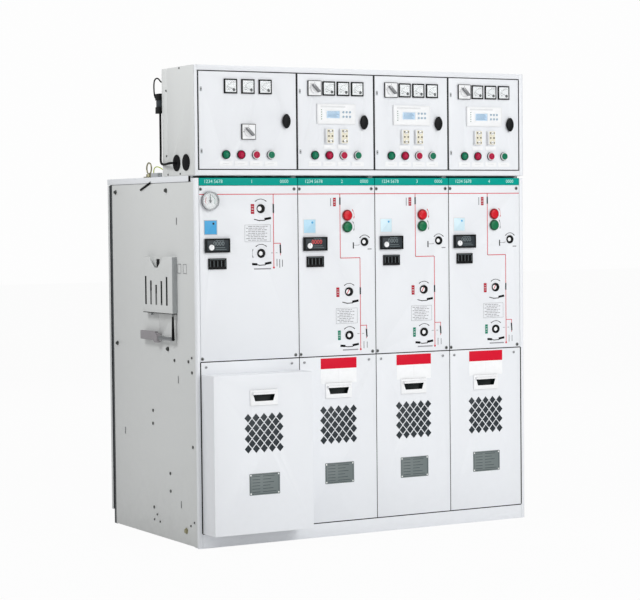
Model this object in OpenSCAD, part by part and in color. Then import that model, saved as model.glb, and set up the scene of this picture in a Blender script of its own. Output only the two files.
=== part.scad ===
// Free-standing ring main unit line-up: four gas-insulated bays in one sheet-steel cabinet,
// a low-voltage control box on the front of the roof, cable compartments below.
// Millimetres. The origin lies on the floor, at the centre of the four anchor holes.
// +X runs to the right along the front, +Y towards the rear, +Z up.

/* [Cabinet] */
// Depth from the operating panels to the rear covers
body_d = 825; // [800:5:900]
// Height of the roof tray that carries the control box
deck_h = 1430; // [1425:5:1480]
// Height of the control box
box_h = 420; // [400:5:520]
// Width of the left end post seen from the front
end_strip = 17; // [16:1:18]
// Width of the right end post seen from the front
right_strip = 20; // [19:1:21]
// Width of the first bay
bay1_w = 430; // [400:1:480]
// Width of each of the other bays
bay_w = 351; // [330:1:400]
// Thickness of the folded sheet steel
sheet = 2; // [1.5:0.25:2.5]
// Joint between neighbouring panels
joint = 3; // [2:0.5:4]
// Depth of the folded edges of panels and covers
fold = 15; // [12:1:16]

/* [Base] */
// Height of the plinth ring
plinth_h = 55; // [50:1:60]
// Width of the plinth channel
plinth_beam_w = 60; // [50:1:70]
// Wall of the plinth channel
plinth_wall = 3; // [2:0.5:4]
// Anchor holes from the ends of the cabinet
anchor_in_x = 70; // [60:1:76]
// Anchor holes from the front and the rear of the cabinet
anchor_in_y = 32.5; // [30:0.5:45]
// Anchor hole diameter
anchor_hole_d = 14; // [12:1:18]
// Width of the cable entry cut in the floor plate of each bay
entry_w = 240; // [200:10:250]
// Depth of the cable entry cut
entry_d = 140; // [100:10:160]

/* [Frame] */
// Radius of the outer edge of the end posts
post_r = 8; // [4:1:10]
// Part of the end post that shows on the side
post_side = 13; // [10:1:14]
// Depth of the end post behind its corner
post_d = 45; // [40:1:50]
// Setback of the side panels from the end posts
side_setback = 2.5; // [1:0.5:3]
// Width of the dark post between side panel and rear cover
rear_post_w = 26; // [20:1:30]
// Depth of a cross rail or mullion
rail_d = 18; // [15:1:20]
// Height of a cross rail
rail_h = 30; // [24:1:34]
// Width of a mullion
mullion_w = 20; // [16:1:24]
// Side of the square columns under the gas tank
column_w = 40; // [30:5:50]

/* [Operating panels] */
// Height of the joint between operating panels and lower covers
split_z = 716; // [700:1:720]
// Height of the coloured header strip
header_h = 29; // [25:1:32]
// Dark gap between header strip and roof level
header_gap = 10; // [8:1:12]
// Radius of the access hole over each operating shaft
access_r = 17; // [16.5:0.5:18]
// Left edge of the voltage indicator from the left of its bay
indicator_x = 22; // [18:1:26]
// Width of the voltage indicator
indicator_w = 105; // [90:1:110]
// Height of the voltage indicator
indicator_h = 54; // [45:1:58]
// Centre of the voltage indicator below the roof
indicator_down = 269; // [255:1:275]
// Width of the fault indicator block below it
block_w = 76; // [60:1:85]
// Height of the fault indicator block
block_h = 42; // [34:1:46]
// Centre of the fault indicator block below the roof
block_down = 339; // [332:1:350]
// How far both blocks stand proud of the panel
instrument_proud = 6; // [4:1:8]
// Radius of the pressure gauge
gauge_r = 36; // [30:1:38]
// Gauge centre from the left of the first bay
gauge_x = 46; // [44:1:60]
// Gauge centre below the roof
gauge_down = 98; // [88:1:110]
// How far the gauge stands proud of the panel
gauge_proud = 12; // [8:1:14]

/* [Operating shafts] */
// Shafts of the first bay from the right of the bay
feeder_shaft_in = 164; // [150:1:180]
// Switch shaft of the first bay below the roof
feeder_shaft_down = 129; // [120:1:140]
// Earthing shaft of the first bay below the roof
feeder_earth_down = 302; // [290:1:320]
// Column of the shafts of the other bays, from the right of the bay
shaft_in = 125; // [116:1:136]
// Disconnector shaft above the joint of panels and lower covers
disconnect_up = 253; // [244:1:264]
// Earthing shaft above the same joint
earthing_up = 80; // [74:1:90]
// Charging shaft from the right of the bay
charge_in = 50; // [45:1:61]
// Charging shaft below the roof
charge_down = 264; // [254:1:274]
// Radius of each shaft
shaft_r = 8; // [6:0.5:9]
// Radial clearance of a turning or sliding fit
fit = 0.05; // [0.02:0.01:0.1]
// Radius of the shaft head that takes the lever
shaft_head_r = 13; // [11:0.5:15]
// Side of the hexagon socket in the shaft head, over its corners
socket_d = 15; // [12:1:18]
// Depth of the hexagon socket
socket_depth = 16; // [10:1:20]
// How far the shaft heads lie behind the face of the panel
shaft_recess = 9; // [4:1:12]

/* [Breaker buttons] */
// Column of both buttons from the right of the bay
button_in = 129; // [121:1:133]
// Red opening button below the roof
open_down = 158; // [150:1:159]
// Green closing button below the roof
close_down = 204; // [203:1:212]
// Radius of the opening button
open_r = 18; // [15:0.5:19]
// Radius of the closing button
close_r = 18; // [15:0.5:19]
// How far both buttons stand proud of the panel
button_proud = 9; // [6:1:12]
// Radius of a button stem
stem_r = 5; // [4:0.5:6]

/* [Lower covers] */
// Depth of the boxed-out cover of the first bay
bulge_d = 105; // [80:5:120]
// Flat flange above the boxed-out part
bulge_flange = 46; // [40:1:60]
// Diamonds across the grille
grille_cols = 5; // [3:1:5]
// Rows of diamonds in the grille
grille_rows = 4; // [3:1:5]
// Spacing of the diamonds across
grille_dx = 34.5; // [34:0.5:38]
// Spacing of the diamonds up
grille_dz = 39.5; // [37:0.5:42]
// Width of one diamond
diamond_w = 31; // [24:0.5:32]
// Height of one diamond
diamond_h = 34; // [26:0.5:35]
// Height of the grille centre
grille_z = 443; // [430:1:450]
// Height of the pull handle centre
pull_z = 579; // [570:1:590]
// Width of the pull handle plate
pull_w = 120; // [100:1:130]
// Height of the pull handle plate
pull_h = 60; // [50:1:64]
// Width of the cup at its top
cup_w = 94; // [80:1:96]
// Height of the cup
cup_h = 27; // [22:1:30]
// Depth of the cup behind the cover
cup_d = 22; // [16:1:26]

/* [Control box] */
// Depth of the control box, its rear cover included
box_d = 285; // [270:5:300]
// Depth of its rear cover
box_rear_d = 50; // [40:1:60]
// Height of the frame strips above and below the doors
box_frame = 20; // [18:1:24]
// Depth of the folded doors
door_t = 18; // [15:1:19]
// Gap around each door
door_gap = 4; // [3:0.5:5]
// Hinge pin from the left edge of the door
hinge_in = 8; // [7:0.5:9]
// Hinge pin behind the face of the door
hinge_back = 6; // [5:0.5:6.5]
// Radius of the hinge pins
hinge_r = 3; // [2.5:0.5:3.5]
// Free length of each hinge pin above and below the door
hinge_pin_l = 7; // [6:0.5:9]

/* [Door fittings] */
// Side of a square meter
meter_w = 56; // [48:1:58]
// Depth of a meter behind the door
meter_deep = 32; // [25:1:45]
// Meter row as a share of the height of the box
meter_share = 0.812; // [0.8:0.001:0.82]
// Spacing of the meters on the wide door
meter_pitch_wide = 75; // [70:1:80]
// Spacing of everything else in a row
fitting_pitch = 65; // [60:1:66]
// Width of the protection relay
relay_w = 174; // [160:1:180]
// Height of the protection relay
relay_h = 80; // [70:1:84]
// Centre of the relay as a share of the height of the box
relay_share = 0.574; // [0.57:0.001:0.58]
// Centre of the test terminals as a share of the height of the box
terminal_share = 0.367; // [0.36:0.001:0.37]
// Selector switch of the wide door as a share of the height of the box
selector_share = 0.398; // [0.38:0.001:0.42]
// Side of the selector plate
selector_w = 58; // [50:1:60]
// Row of lamps and push-buttons as a share of the height of the box
lamp_share = 0.188; // [0.18:0.001:0.195]
// Radius of a lamp or button ring
ring_r = 16; // [14:0.5:18]
// Radius of a push-button cap
cap_r = 10; // [8:0.5:11]
// Travel of a push-button
cap_travel = 3; // [2:0.5:3]
// Door lock from the free edge of the door
lock_x = 48; // [44:1:52]
// Door lock as a share of the height of the box
lock_share = 0.5; // [0.48:0.005:0.52]
// Width of the oval lock handle
lock_w = 32; // [28:1:34]
// Height of the oval lock handle
lock_h = 56; // [50:1:60]
// Reach of the latch tongue from the lock axis
tongue_l = 44; // [42:1:45]

/* [Gas tank] */
// Depth of the mechanism compartment behind the panels
mech_d = 165; // [150:5:180]
// Depth of the cable compartments
cable_d = 330; // [300:5:340]
// Height of the step in the front of the tank
tank_step_z = 736; // [735:1:740]
// Height of the tank floor
tank_bottom_z = 430; // [400:5:440]
// Tank roof below the roof of the cabinet
tank_roof_gap = 50; // [45:5:70]
// Wall of the tank
tank_wall = 3; // [2.5:0.5:4]
// Gap between the tank and the rear covers
tank_rear_gap = 60; // [50:5:80]
// Underside of the busbars below the top of the tank
bar_down = 140; // [110:5:160]
// Height of a busbar
bar_h = 40; // [30:5:50]
// Thickness of a busbar
bar_t = 10; // [6:1:12]
// First busbar behind the rear of the cable compartments
phase_in = 70; // [60:5:80]
// Spacing of the busbars
phase_pitch = 90; // [80:5:100]
// Spacing of the three phases in a bay
phase_dx = 95; // [85:1:98]
// Height of the cable bushings
bushing_z = 590; // [570:5:610]
// Length of a bushing outside the tank
bushing_l = 130; // [110:5:150]
// Root radius of a bushing cone
bushing_r = 35; // [28:1:38]
// Tip radius of a bushing cone
bushing_tip_r = 24; // [18:1:26]

/* [Document pocket] */
// Front edge of the pocket from the front of the cabinet
pocket_y = 168; // [150:1:180]
// Width of the pocket
pocket_w = 272; // [240:1:280]
// Height of the underside of the pocket
pocket_z = 897; // [890:1:910]
// Height of the pocket
pocket_h = 219; // [200:1:230]
// Depth of the pocket from the end post face
pocket_d = 20; // [16:1:30]
// Sheet of the pocket
pocket_sheet = 1.5; // [1:0.25:2]
// Spacing of the slots in the pocket
slot_pitch = 48.6; // [46:0.2:50]
// Width of a slot
slot_w = 15; // [8:1:18]
// Shift of slots and notch from the middle of the pocket
slot_shift = 12; // [0:1:16]

/* [Side fittings] */
// Stored lever from the front of the cabinet
lever_y = 178; // [172:1:190]
// Length of its straight bar
lever_l = 160; // [155:1:200]
// Stored lever below the underside of the pocket
lever_down = 100; // [92:1:106]
// Front column of side bolts from the front of the cabinet
bolt_y = 259; // [240:1:270]
// Rear column of side bolts from the rear of the cabinet
bolt_rear = 80; // [70:1:90]
// Lower side bolts above the joint of the panels
bolt_up = 39; // [30:1:45]
// Upper side bolts below the roof
bolt_down = 54; // [45:1:60]
// Earth bolts from the front of the cabinet
earth_bolt_y = 112; // [100:1:130]
// Height of the earth bolts
earth_bolt_z = 56; // [50:1:70]
// Lifting eyes from the front of the cabinet
eye_y = 462; // [450:1:480]

/* [Hidden] */
$fn = 40;

// Colours
light_grey = [0.87, 0.88, 0.89];
shade_grey = [0.74, 0.75, 0.75];
dark_grey = [0.2, 0.22, 0.23];
black = [0.08, 0.08, 0.09];
teal = [0.07, 0.52, 0.47];
signal_red = [0.8, 0.1, 0.15];
signal_green = [0.1, 0.55, 0.3];
steel = [0.62, 0.64, 0.66];
zinc = [0.72, 0.7, 0.5];
copper = [0.75, 0.45, 0.3];
resin = [0.55, 0.25, 0.2];
white = [0.95, 0.95, 0.94];

// Seat gap between two pieces that rest on each other
seat = 0.3;
// Extra length of a cutting solid
cut = 1;
// Sides of a soft tube
tube_sides = 8;

// Heights and faces of the cabinet
body_w = end_strip + bay1_w + 3 * bay_w + right_strip;
total_h = deck_h + box_h;
left_x = -body_w / 2;
right_x = body_w / 2;
front_y = -body_d / 2;
rear_y = body_d / 2;
first_x = left_x + end_strip;
last_x = first_x + bay1_w + 3 * bay_w;
header_top_z = deck_h - header_gap;
header_z = header_top_z - header_h;
cover_low_z = plinth_h + joint;
floor_z = plinth_h + sheet + 2 * seat;
earth_bar_t = 6;
earth_bar_h = 30;
side_face_x = left_x + side_setback;
box_rear_y = front_y + box_d;
box_shell_d = box_d - box_rear_d;
box_z = deck_h + seat;
indicator_z = deck_h - indicator_down;
block_z = deck_h - block_down;
gauge_z = deck_h - gauge_down;
open_z = deck_h - open_down;
close_z = deck_h - close_down;
meter_z = deck_h + meter_share * box_h;
relay_z = deck_h + relay_share * box_h;
terminal_z = deck_h + terminal_share * box_h;
selector_low_z = deck_h + selector_share * box_h;
lamp_z = deck_h + lamp_share * box_h;
lock_z = deck_h + lock_share * box_h;
door_low_z = deck_h + box_frame + door_gap / 2;
door_high_z = total_h - box_frame - door_gap / 2;
rail_y = front_y + fold + seat;
mullion_y = rail_y + rail_d + seat;
rear_skin_y = rear_y - fold;
rear_post_y = rear_skin_y - seat - rear_post_w;
frame_top_z = deck_h - sheet - seat;
hinge_y = front_y + hinge_back;
stop_y = front_y + door_t + 4 + seat;
lip_y = stop_y - 2;
opening_in = 1.5;
stop_w = 24;
roof_fold = 23;
roof_front = 55;
tank_half_w = body_w / 2 - 24;
tank_top_z = deck_h - tank_roof_gap;
tank_rear_y = rear_y - tank_rear_gap;
mech_front_y = mullion_y + 10;
mech_back_y = front_y + mech_d - seat - plinth_wall;
mech_low_z = split_z + 34;
mech_high_z = header_z - 36;
mech_inset = 14;
disconnect_z = split_z + disconnect_up;
earthing_z = split_z + earthing_up;
shaft_front_y = front_y + shaft_recess;
grommet_ys = [70, 153];
grommet_z = deck_h + 50.5;
grommet_r = 30;
pole_top_z = tank_top_z - bar_down;
bar_end = 30;
phase_ys = [for (k = [0:2]) front_y + cable_d + phase_in + k * phase_pitch];
plug_up = 248;
plug_h = 26;
plug_z = deck_h + plug_up;
plug_rear_y = box_rear_y + 40;
terminal_back = 56;
terminal_l = 62;
lever_z = pocket_z - lever_down;
clip_ys = [lever_y + 20, lever_y + 110];
// Small screws on the sides as [from the front, height]
side_screws = [
  [201, split_z - 3], [76, split_z - 1], [46, split_z - 42], [406, 502], [408, 450], [46, 387],
  [252, 265], [251, 195], [407, 114]
];
lever_r = 7;
lever_x = left_x - 14;
pocket_back_x = side_face_x - seat;
pocket_front_x = left_x - pocket_d;

function bay_left(i) = i == 1 ? first_x : first_x + bay1_w + (i - 2) * bay_w;
function bay_width(i) = i == 1 ? bay1_w : bay_w;
function bay_right(i) = bay_left(i) + bay_width(i);
function bay_mid(i) = bay_left(i) + bay_width(i) / 2;
function door_left(i) = bay_left(i) + door_gap / 2;
function door_right(i) = bay_right(i) - door_gap / 2;
function hinge_x(i) = door_left(i) + hinge_in;
function selector_x(i) = i == 1 ? bay_mid(1) : bay_mid(i) - 1.5 * fitting_pitch;
function selector_z(i) = i == 1 ? selector_low_z : meter_z;
function meter_xs(i) = i == 1
  ? [for (k = [-1:1]) bay_mid(1) + k * meter_pitch_wide]
  : [for (k = [-0.5:1:1.5]) bay_mid(i) + k * fitting_pitch];
function lamp_x(i, k) = bay_mid(i) + (k - 1.5) * fitting_pitch;
function lock_centre_x(i) = door_right(i) - lock_x;
// Each shaft of a bay as [x, z], x from the left of the bay
function shaft_places(i) = i == 1
  ? [for (down = [feeder_shaft_down, feeder_earth_down]) [bay1_w - feeder_shaft_in, deck_h - down]]
  : [[bay_w - shaft_in, disconnect_z], [bay_w - shaft_in, earthing_z],
     [bay_w - charge_in, deck_h - charge_down]];

// A block between two opposite corners
module block(a, b) {
  translate(a) cube(b - a);
}

// A round bar that runs from y towards the rear
module bar_y(x, y, z, r, l) {
  translate([x, y, z]) rotate([-90, 0, 0]) cylinder(r = r, h = l);
}

// A round bar that runs from x to the right
module bar_x(x, y, z, r, l) {
  translate([x, y, z]) rotate([0, 90, 0]) cylinder(r = r, h = l);
}

// A folded tray: closed front face at y, folded edges towards the rear
module tray(x_a, x_b, z_a, z_b, y, deep, wall) {
  difference() {
    block([x_a, y, z_a], [x_b, y + deep, z_b]);
    block([x_a + wall, y + wall, z_a + wall], [x_b - wall, y + deep + cut, z_b - wall]);
  }
}

// Plinth of four channel beams, open to the inside, and the floor sheets on it
module base_frame() {
  x_a = first_x + seat;
  x_b = last_x - seat;
  y_b = rear_skin_y - seat;
  color(light_grey) {
    difference() {
      end_beam(x_a, x_b, front_y);
      for (s = [-1, 1]) anchor_hole(s * (body_w / 2 - anchor_in_x), anchor_in_y - body_d / 2);
    }
    difference() {
      translate([0, y_b + front_y, 0]) mirror([0, 1, 0]) end_beam(x_a, x_b, front_y);
      for (s = [-1, 1]) anchor_hole(s * (body_w / 2 - anchor_in_x), body_d / 2 - anchor_in_y);
    }
    side_beam(x_a, front_y + plinth_beam_w + seat, y_b - plinth_beam_w - seat);
    translate([x_a + x_b, 0, 0]) mirror([1, 0, 0])
      side_beam(x_a, front_y + plinth_beam_w + seat, y_b - plinth_beam_w - seat);
    floor_plate();
  }
}

module end_beam(x_a, x_b, y) {
  difference() {
    block([x_a, y, 0], [x_b, y + plinth_beam_w, plinth_h]);
    block([x_a + plinth_wall, y + plinth_wall, plinth_wall],
          [x_b - plinth_wall, y + plinth_beam_w + cut, plinth_h - plinth_wall]);
  }
}

module side_beam(x, y_a, y_b) {
  difference() {
    block([x, y_a, 0], [x + plinth_beam_w, y_b, plinth_h]);
    block([x + plinth_wall, y_a - cut, plinth_wall],
          [x + plinth_beam_w + cut, y_b + cut, plinth_h - plinth_wall]);
  }
}

module anchor_hole(x, y) {
  translate([x, y, -cut]) cylinder(d = anchor_hole_d, h = plinth_wall + 2 * cut);
}

// Front and rear floor sheets with bridges between them, which leave the cable entries open
module floor_plate() {
  entry_y = front_y + 150;
  low_z = plinth_h + seat;
  high_z = floor_z - seat;
  side_in = 4;
  block([first_x + side_in, front_y + side_in, low_z], [last_x - side_in, entry_y, high_z]);
  block([first_x + side_in, entry_y + entry_d, low_z], [last_x - side_in, rear_skin_y - 10, high_z]);
  for (i = [0:4])
    block([i == 0 ? first_x + side_in : bay_mid(i) + entry_w / 2, entry_y + seat, low_z],
          [i == 4 ? last_x - side_in : bay_mid(i + 1) - entry_w / 2, entry_y + entry_d - seat, high_z]);
}

// Plan of an end post: rounded corner outside, inner leg behind the side panel
module post_plan(w) {
  difference() {
    union() {
      square([w, post_side]);
      translate([side_setback + sheet + seat, 0])
        square([w - side_setback - sheet - seat, post_d]);
    }
    difference() {
      translate([-cut, -cut]) square(post_r + cut);
      translate([post_r, post_r]) circle(r = post_r);
    }
  }
}

// Posts, rails, mullions, partitions and the columns under the tank
module cabinet_frame() {
  tank_leg_ys = [front_y + cable_d + 20, tank_rear_y - column_w - 20];
  color(light_grey) {
    translate([left_x, front_y, 0]) linear_extrude(header_top_z) post_plan(end_strip - seat);
    translate([right_x, front_y, 0]) mirror([1, 0, 0])
      linear_extrude(header_top_z) post_plan(right_x - last_x - seat);
    cross_rail(rail_y, rail_d, floor_z, 12);
    cross_rail(rail_y, rail_d, split_z - rail_h / 2, rail_h);
    cross_rail(rail_y, rail_d, header_z - 6, rail_h);
    cross_rail(rear_post_y, rear_post_w, floor_z, rail_h);
    cross_rail(rear_post_y, rear_post_w, header_z - 6, 18);
    for (i = [1:3]) {
      block([bay_right(i) - mullion_w / 2, mullion_y, floor_z],
            [bay_right(i) + mullion_w / 2, mullion_y + rail_d, frame_top_z]);
      block([bay_right(i) - sheet / 2, mullion_y + rail_d + seat, floor_z],
            [bay_right(i) + sheet / 2, front_y + cable_d - earth_bar_t - 2 * seat, split_z]);
    }
    for (x = [-tank_half_w + 30, -column_w / 2, tank_half_w - 30 - column_w], y = tank_leg_ys)
      block([x, y, floor_z], [x + column_w, y + column_w, tank_bottom_z - seat]);
  }
  color(dark_grey)
    for (side = [0, 1]) mirror([side, 0, 0])
      block([left_x + side_setback + 3, rear_post_y, 0],
            [first_x - seat, rear_post_y + rear_post_w, frame_top_z]);
  color(shade_grey)
    for (side = [0, 1]) mirror([side, 0, 0])
      block([side_face_x + sheet + seat, front_y + post_d + seat, header_z - 6],
            [first_x - seat, rear_post_y - seat, frame_top_z]);
}

module cross_rail(y, deep, z, high) {
  block([first_x, y, z], [last_x, y + deep, z + high]);
}

// Flat side sheets and four folded rear covers
module side_and_rear_panels() {
  color(shade_grey)
    for (side = [0, 1]) mirror([side, 0, 0])
      block([side_face_x, front_y + post_side + seat, 3],
            [side_face_x + sheet, rear_post_y - seat, deck_h - roof_fold - 2]);
  color(light_grey)
    for (i = [1:4])
      rear_cover(i == 1 ? left_x + 1 : bay_left(i) + joint / 2,
                 i == 4 ? right_x - 1 : bay_right(i) - joint / 2);
}

// One rear cover with a folded edge and two pressed stiffening ribs
module rear_cover(x_a, x_b) {
  rib_w = 60;
  rib_inset = 70;
  z_b = deck_h - roof_fold - 2;
  difference() {
    translate([0, 2 * rear_y, 0]) mirror([0, 1, 0])
      tray(x_a, x_b, cover_low_z, z_b, rear_y, fold, sheet);
    for (z = [cover_low_z + 120, z_b - 120 - rib_w])
      block([x_a + rib_inset, rear_y - 0.6, z], [x_b - rib_inset, rear_y + cut, z + rib_w]);
  }
}

// Tray over the cabinet: plate with folded sides and rear, and a bare front edge
module roof_tray() {
  color(light_grey) {
    difference() {
      block([left_x, front_y + roof_front, deck_h - roof_fold], [right_x, rear_y, deck_h]);
      block([left_x + sheet, front_y + roof_front - cut, deck_h - roof_fold - cut],
            [right_x - sheet, rear_y - sheet, deck_h - sheet]);
    }
    block([left_x + sheet, front_y + 20, deck_h - sheet],
          [right_x - sheet, front_y + roof_front + cut, deck_h]);
  }
  color(black)
    for (side = [0, 1]) mirror([side, 0, 0])
      block([left_x, front_y + post_d + seat, deck_h - roof_fold],
            [side_face_x + sheet, front_y + roof_front - seat, deck_h - sheet - seat]);
}

// Four folded panels with their cut-outs, and the coloured header strips above them
module operating_panels() {
  for (i = [1:4]) {
    x_a = bay_left(i) + joint / 2;
    x_b = bay_right(i) - joint / 2;
    color(light_grey)
      difference() {
        tray(x_a, x_b, split_z + joint / 2, header_z - 1, front_y, fold, sheet);
        for (p = shaft_places(i))
          bar_y(bay_left(i) + p[0], front_y - cut, p[1], access_r, sheet + 2 * cut);
        instrument_cuts(i);
      }
    color(teal) tray(x_a, x_b, header_z, header_top_z, front_y, fold, sheet);
  }
}

// Holes for the gauge, the indicators and the breaker buttons of one bay
module instrument_cuts(i) {
  x = bay_left(i);
  mid_x = x + indicator_x + indicator_w / 2;
  if (i == 1) bar_y(x + gauge_x, front_y - cut, gauge_z, gauge_r - 4, sheet + 2 * cut);
  block([mid_x - indicator_w / 2 + 6, front_y - cut, indicator_z - indicator_h / 2 + 6],
        [mid_x + indicator_w / 2 - 6, front_y + sheet + cut, indicator_z + indicator_h / 2 - 6]);
  block([mid_x - block_w / 2 + 6, front_y - cut, block_z - block_h / 2 + 6],
        [mid_x + block_w / 2 - 6, front_y + sheet + cut, block_z + block_h / 2 - 6]);
  if (i > 1) {
    bar_y(bay_right(i) - button_in, front_y - cut, open_z, open_r + 1, sheet + 2 * cut);
    bar_y(bay_right(i) - button_in, front_y - cut, close_z, close_r + 1, sheet + 2 * cut);
  }
}

// Box on the front of the roof: shell, stop strips and partitions, and its folded rear cover
module control_box() {
  inner_z = box_z + sheet;
  inner_top_z = total_h - sheet;
  color(light_grey) {
    difference() {
      box_side(left_x, first_x - opening_in);
      for (y = grommet_ys)
        bar_x(left_x - cut, front_y + y, grommet_z, grommet_r, sheet + 2 * cut);
    }
    translate([right_x, 0, 0]) mirror([1, 0, 0]) box_side(0, right_x - last_x - opening_in);
    box_sill(box_z, deck_h + box_frame);
    translate([0, 0, total_h]) mirror([0, 0, 1]) box_sill(0, box_frame);
    for (i = [1:4])
      block([bay_right(i) - stop_w / 2, stop_y, inner_z + seat],
            [i == 4 ? right_x - sheet - seat : bay_right(i) + stop_w / 2,
             stop_y + sheet, inner_top_z - seat]);
    for (i = [1:3])
      block([bay_right(i) - sheet / 2, stop_y + sheet + seat, inner_z + seat],
            [bay_right(i) + sheet / 2, front_y + box_shell_d, inner_top_z - seat]);
  }
  color(shade_grey)
    difference() {
      block([left_x + cut, front_y + box_shell_d + seat, box_z], [right_x - cut, box_rear_y, total_h]);
      block([left_x + cut + sheet, front_y + box_shell_d, box_z + sheet],
            [right_x - cut - sheet, box_rear_y - sheet, total_h - sheet]);
    }
}

// End wall of the box and the upright lip beside the door opening
module box_side(x_out, x_in) {
  block([x_out, front_y, box_z], [x_out + sheet, front_y + box_shell_d, total_h]);
  block([x_out + sheet + seat, front_y, box_z], [x_in, front_y + sheet, total_h]);
  block([x_in - sheet, front_y, box_z + sheet + seat], [x_in, lip_y, total_h - sheet - seat]);
}

// Floor of the box and the level lip below the door opening
module box_sill(z_out, z_in) {
  x_a = first_x - opening_in + seat;
  x_b = last_x + opening_in - seat;
  block([left_x + sheet + seat, front_y + sheet + seat, z_out],
        [right_x - sheet - seat, front_y + box_shell_d, z_out + sheet]);
  difference() {
    union() {
      block([x_a, front_y, z_out], [x_b, front_y + sheet, z_in]);
      block([x_a, front_y, z_in - sheet], [x_b, lip_y, z_in]);
    }
    for (i = [1:4])
      translate([hinge_x(i), hinge_y, z_in - sheet - cut])
        cylinder(r = hinge_r + fit, h = sheet + 2 * cut);
  }
}

// One hinged door: folded tray with its hinge pins, and the fittings that do not move
module control_door(i) {
  x_a = door_left(i);
  x_b = door_right(i);
  color(light_grey) {
    difference() {
      tray(x_a, x_b, door_low_z, door_high_z, front_y, door_t, sheet);
      for (x = meter_xs(i)) square_hole(x, meter_z, meter_w - 8);
      if (i > 1) square_hole(bay_mid(i), relay_z, relay_h - 12);
      for (k = [0:3]) bar_y(lamp_x(i, k), front_y - cut, lamp_z, ring_r - 3.7, sheet + 2 * cut);
      bar_y(selector_x(i), front_y - cut, selector_z(i), 6, sheet + 2 * cut);
      bar_y(lock_centre_x(i), front_y - cut, lock_z, 9, sheet + 2 * cut);
    }
    for (z = [door_low_z - hinge_pin_l, door_high_z - sheet])
      translate([hinge_x(i), hinge_y, z]) cylinder(r = hinge_r, h = hinge_pin_l + sheet);
  }
  for (x = meter_xs(i)) meter(x);
  if (i > 1) {
    relay(bay_mid(i));
    for (k = [1, 2]) test_terminal(lamp_x(i, k));
  }
  lamp(lamp_x(i, 0), signal_green);
  lamp(lamp_x(i, 1), signal_red);
  button_ring(lamp_x(i, 2));
  button_ring(lamp_x(i, 3));
  selector_plate(selector_x(i), selector_z(i));
  lock_bush(lock_centre_x(i));
}

module square_hole(x, z, w) {
  block([x - w / 2, front_y - cut, z - w / 2], [x + w / 2, front_y + sheet + cut, z + w / 2]);
}

// Square panel meter: bezel with a sunk dial, case behind the door
module meter(x) {
  bezel_t = 5;
  rim = 3;
  y = front_y - seat;
  color(black)
    difference() {
      union() {
        block([x - meter_w / 2, y - bezel_t, meter_z - meter_w / 2],
              [x + meter_w / 2, y, meter_z + meter_w / 2]);
        block([x - meter_w / 2 + 5, y - 1, meter_z - meter_w / 2 + 5],
              [x + meter_w / 2 - 5, front_y + meter_deep, meter_z + meter_w / 2 - 5]);
      }
      block([x - meter_w / 2 + rim, y - bezel_t - cut, meter_z - meter_w / 2 + rim],
            [x + meter_w / 2 - rim, y - bezel_t + 1.5, meter_z + meter_w / 2 - rim]);
    }
}

// Protection relay: flat front with a sunk display and a keypad field
module relay(x) {
  t = 6;
  y = front_y - seat;
  w = relay_h - 14;
  color(white)
    difference() {
      union() {
        block([x - relay_w / 2, y - t, relay_z - relay_h / 2], [x + relay_w / 2, y, relay_z + relay_h / 2]);
        block([x - w / 2, y - 1, relay_z - w / 2], [x + w / 2, front_y + 45, relay_z + w / 2]);
      }
      block([x - 46, y - t - cut, relay_z - 18], [x + 16, y - t + 1.5, relay_z + 14]);
    }
  color(light_grey)
    for (k = [0:2], m = [0:1])
      bar_y(x + 30 + k * 15, y - t - 2, relay_z - 10 + m * 18, 5, 2 + cut);
}

// Disconnecting test terminal with two screws
module test_terminal(x) {
  w = 36;
  h = 57;
  color(white) {
    block([x - w / 2, front_y - seat - 12, terminal_z - h / 2],
          [x + w / 2, front_y - seat, terminal_z + h / 2]);
    for (s = [-1, 1]) bar_y(x, front_y - seat - 17, terminal_z + s * 18, 6, 5 + cut);
  }
}

// Lamp: ring, domed lens and the barrel through the door
module lamp(x, tint) {
  color(tint) {
    lamp_body(x);
    translate([x, front_y - seat - 4, lamp_z]) rotate([90, 0, 0])
      intersection() {
        translate([0, 0, -8]) sphere(r = ring_r);
        cylinder(r = ring_r, h = ring_r);
      }
  }
}

module lamp_body(x) {
  bar_y(x, front_y - seat - 4, lamp_z, ring_r, 4);
  bar_y(x, front_y - seat - cut, lamp_z, ring_r - 4, 30);
}

// Ring and barrel that guide a push-button cap
module button_ring(x) {
  color(steel)
    difference() {
      union() {
        bar_y(x, front_y - seat - 6, lamp_z, ring_r, 6);
        bar_y(x, front_y - seat - cut, lamp_z, ring_r - 4, 30);
      }
      bar_y(x, front_y - 10, lamp_z, cap_r + fit, 10 + 16);
    }
}

// Square plate of a selector switch with its case behind the door
module selector_plate(x, z) {
  t = 6;
  color(white)
    difference() {
      union() {
        block([x - selector_w / 2, front_y - seat - t, z - selector_w / 2],
              [x + selector_w / 2, front_y - seat, z + selector_w / 2]);
        bar_y(x, front_y - seat - cut, z, 5.5, sheet + 2 * cut);
        block([x - 20, front_y + sheet + seat, z - 20], [x + 20, front_y + 40, z + 20]);
      }
      bar_y(x, front_y - seat - t - cut, z, 3 + fit, t + 22);
    }
}

// Threaded bush of the door lock
module lock_bush(x) {
  color(steel)
    difference() {
      union() {
        bar_y(x, front_y - seat - 2, lock_z, 12, 2);
        bar_y(x, front_y - seat - cut, lock_z, 8.7, stop_y - front_y + sheet - seat);
      }
      bar_y(x, front_y - 10, lock_z, 5 + fit, 60);
    }
}

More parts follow.
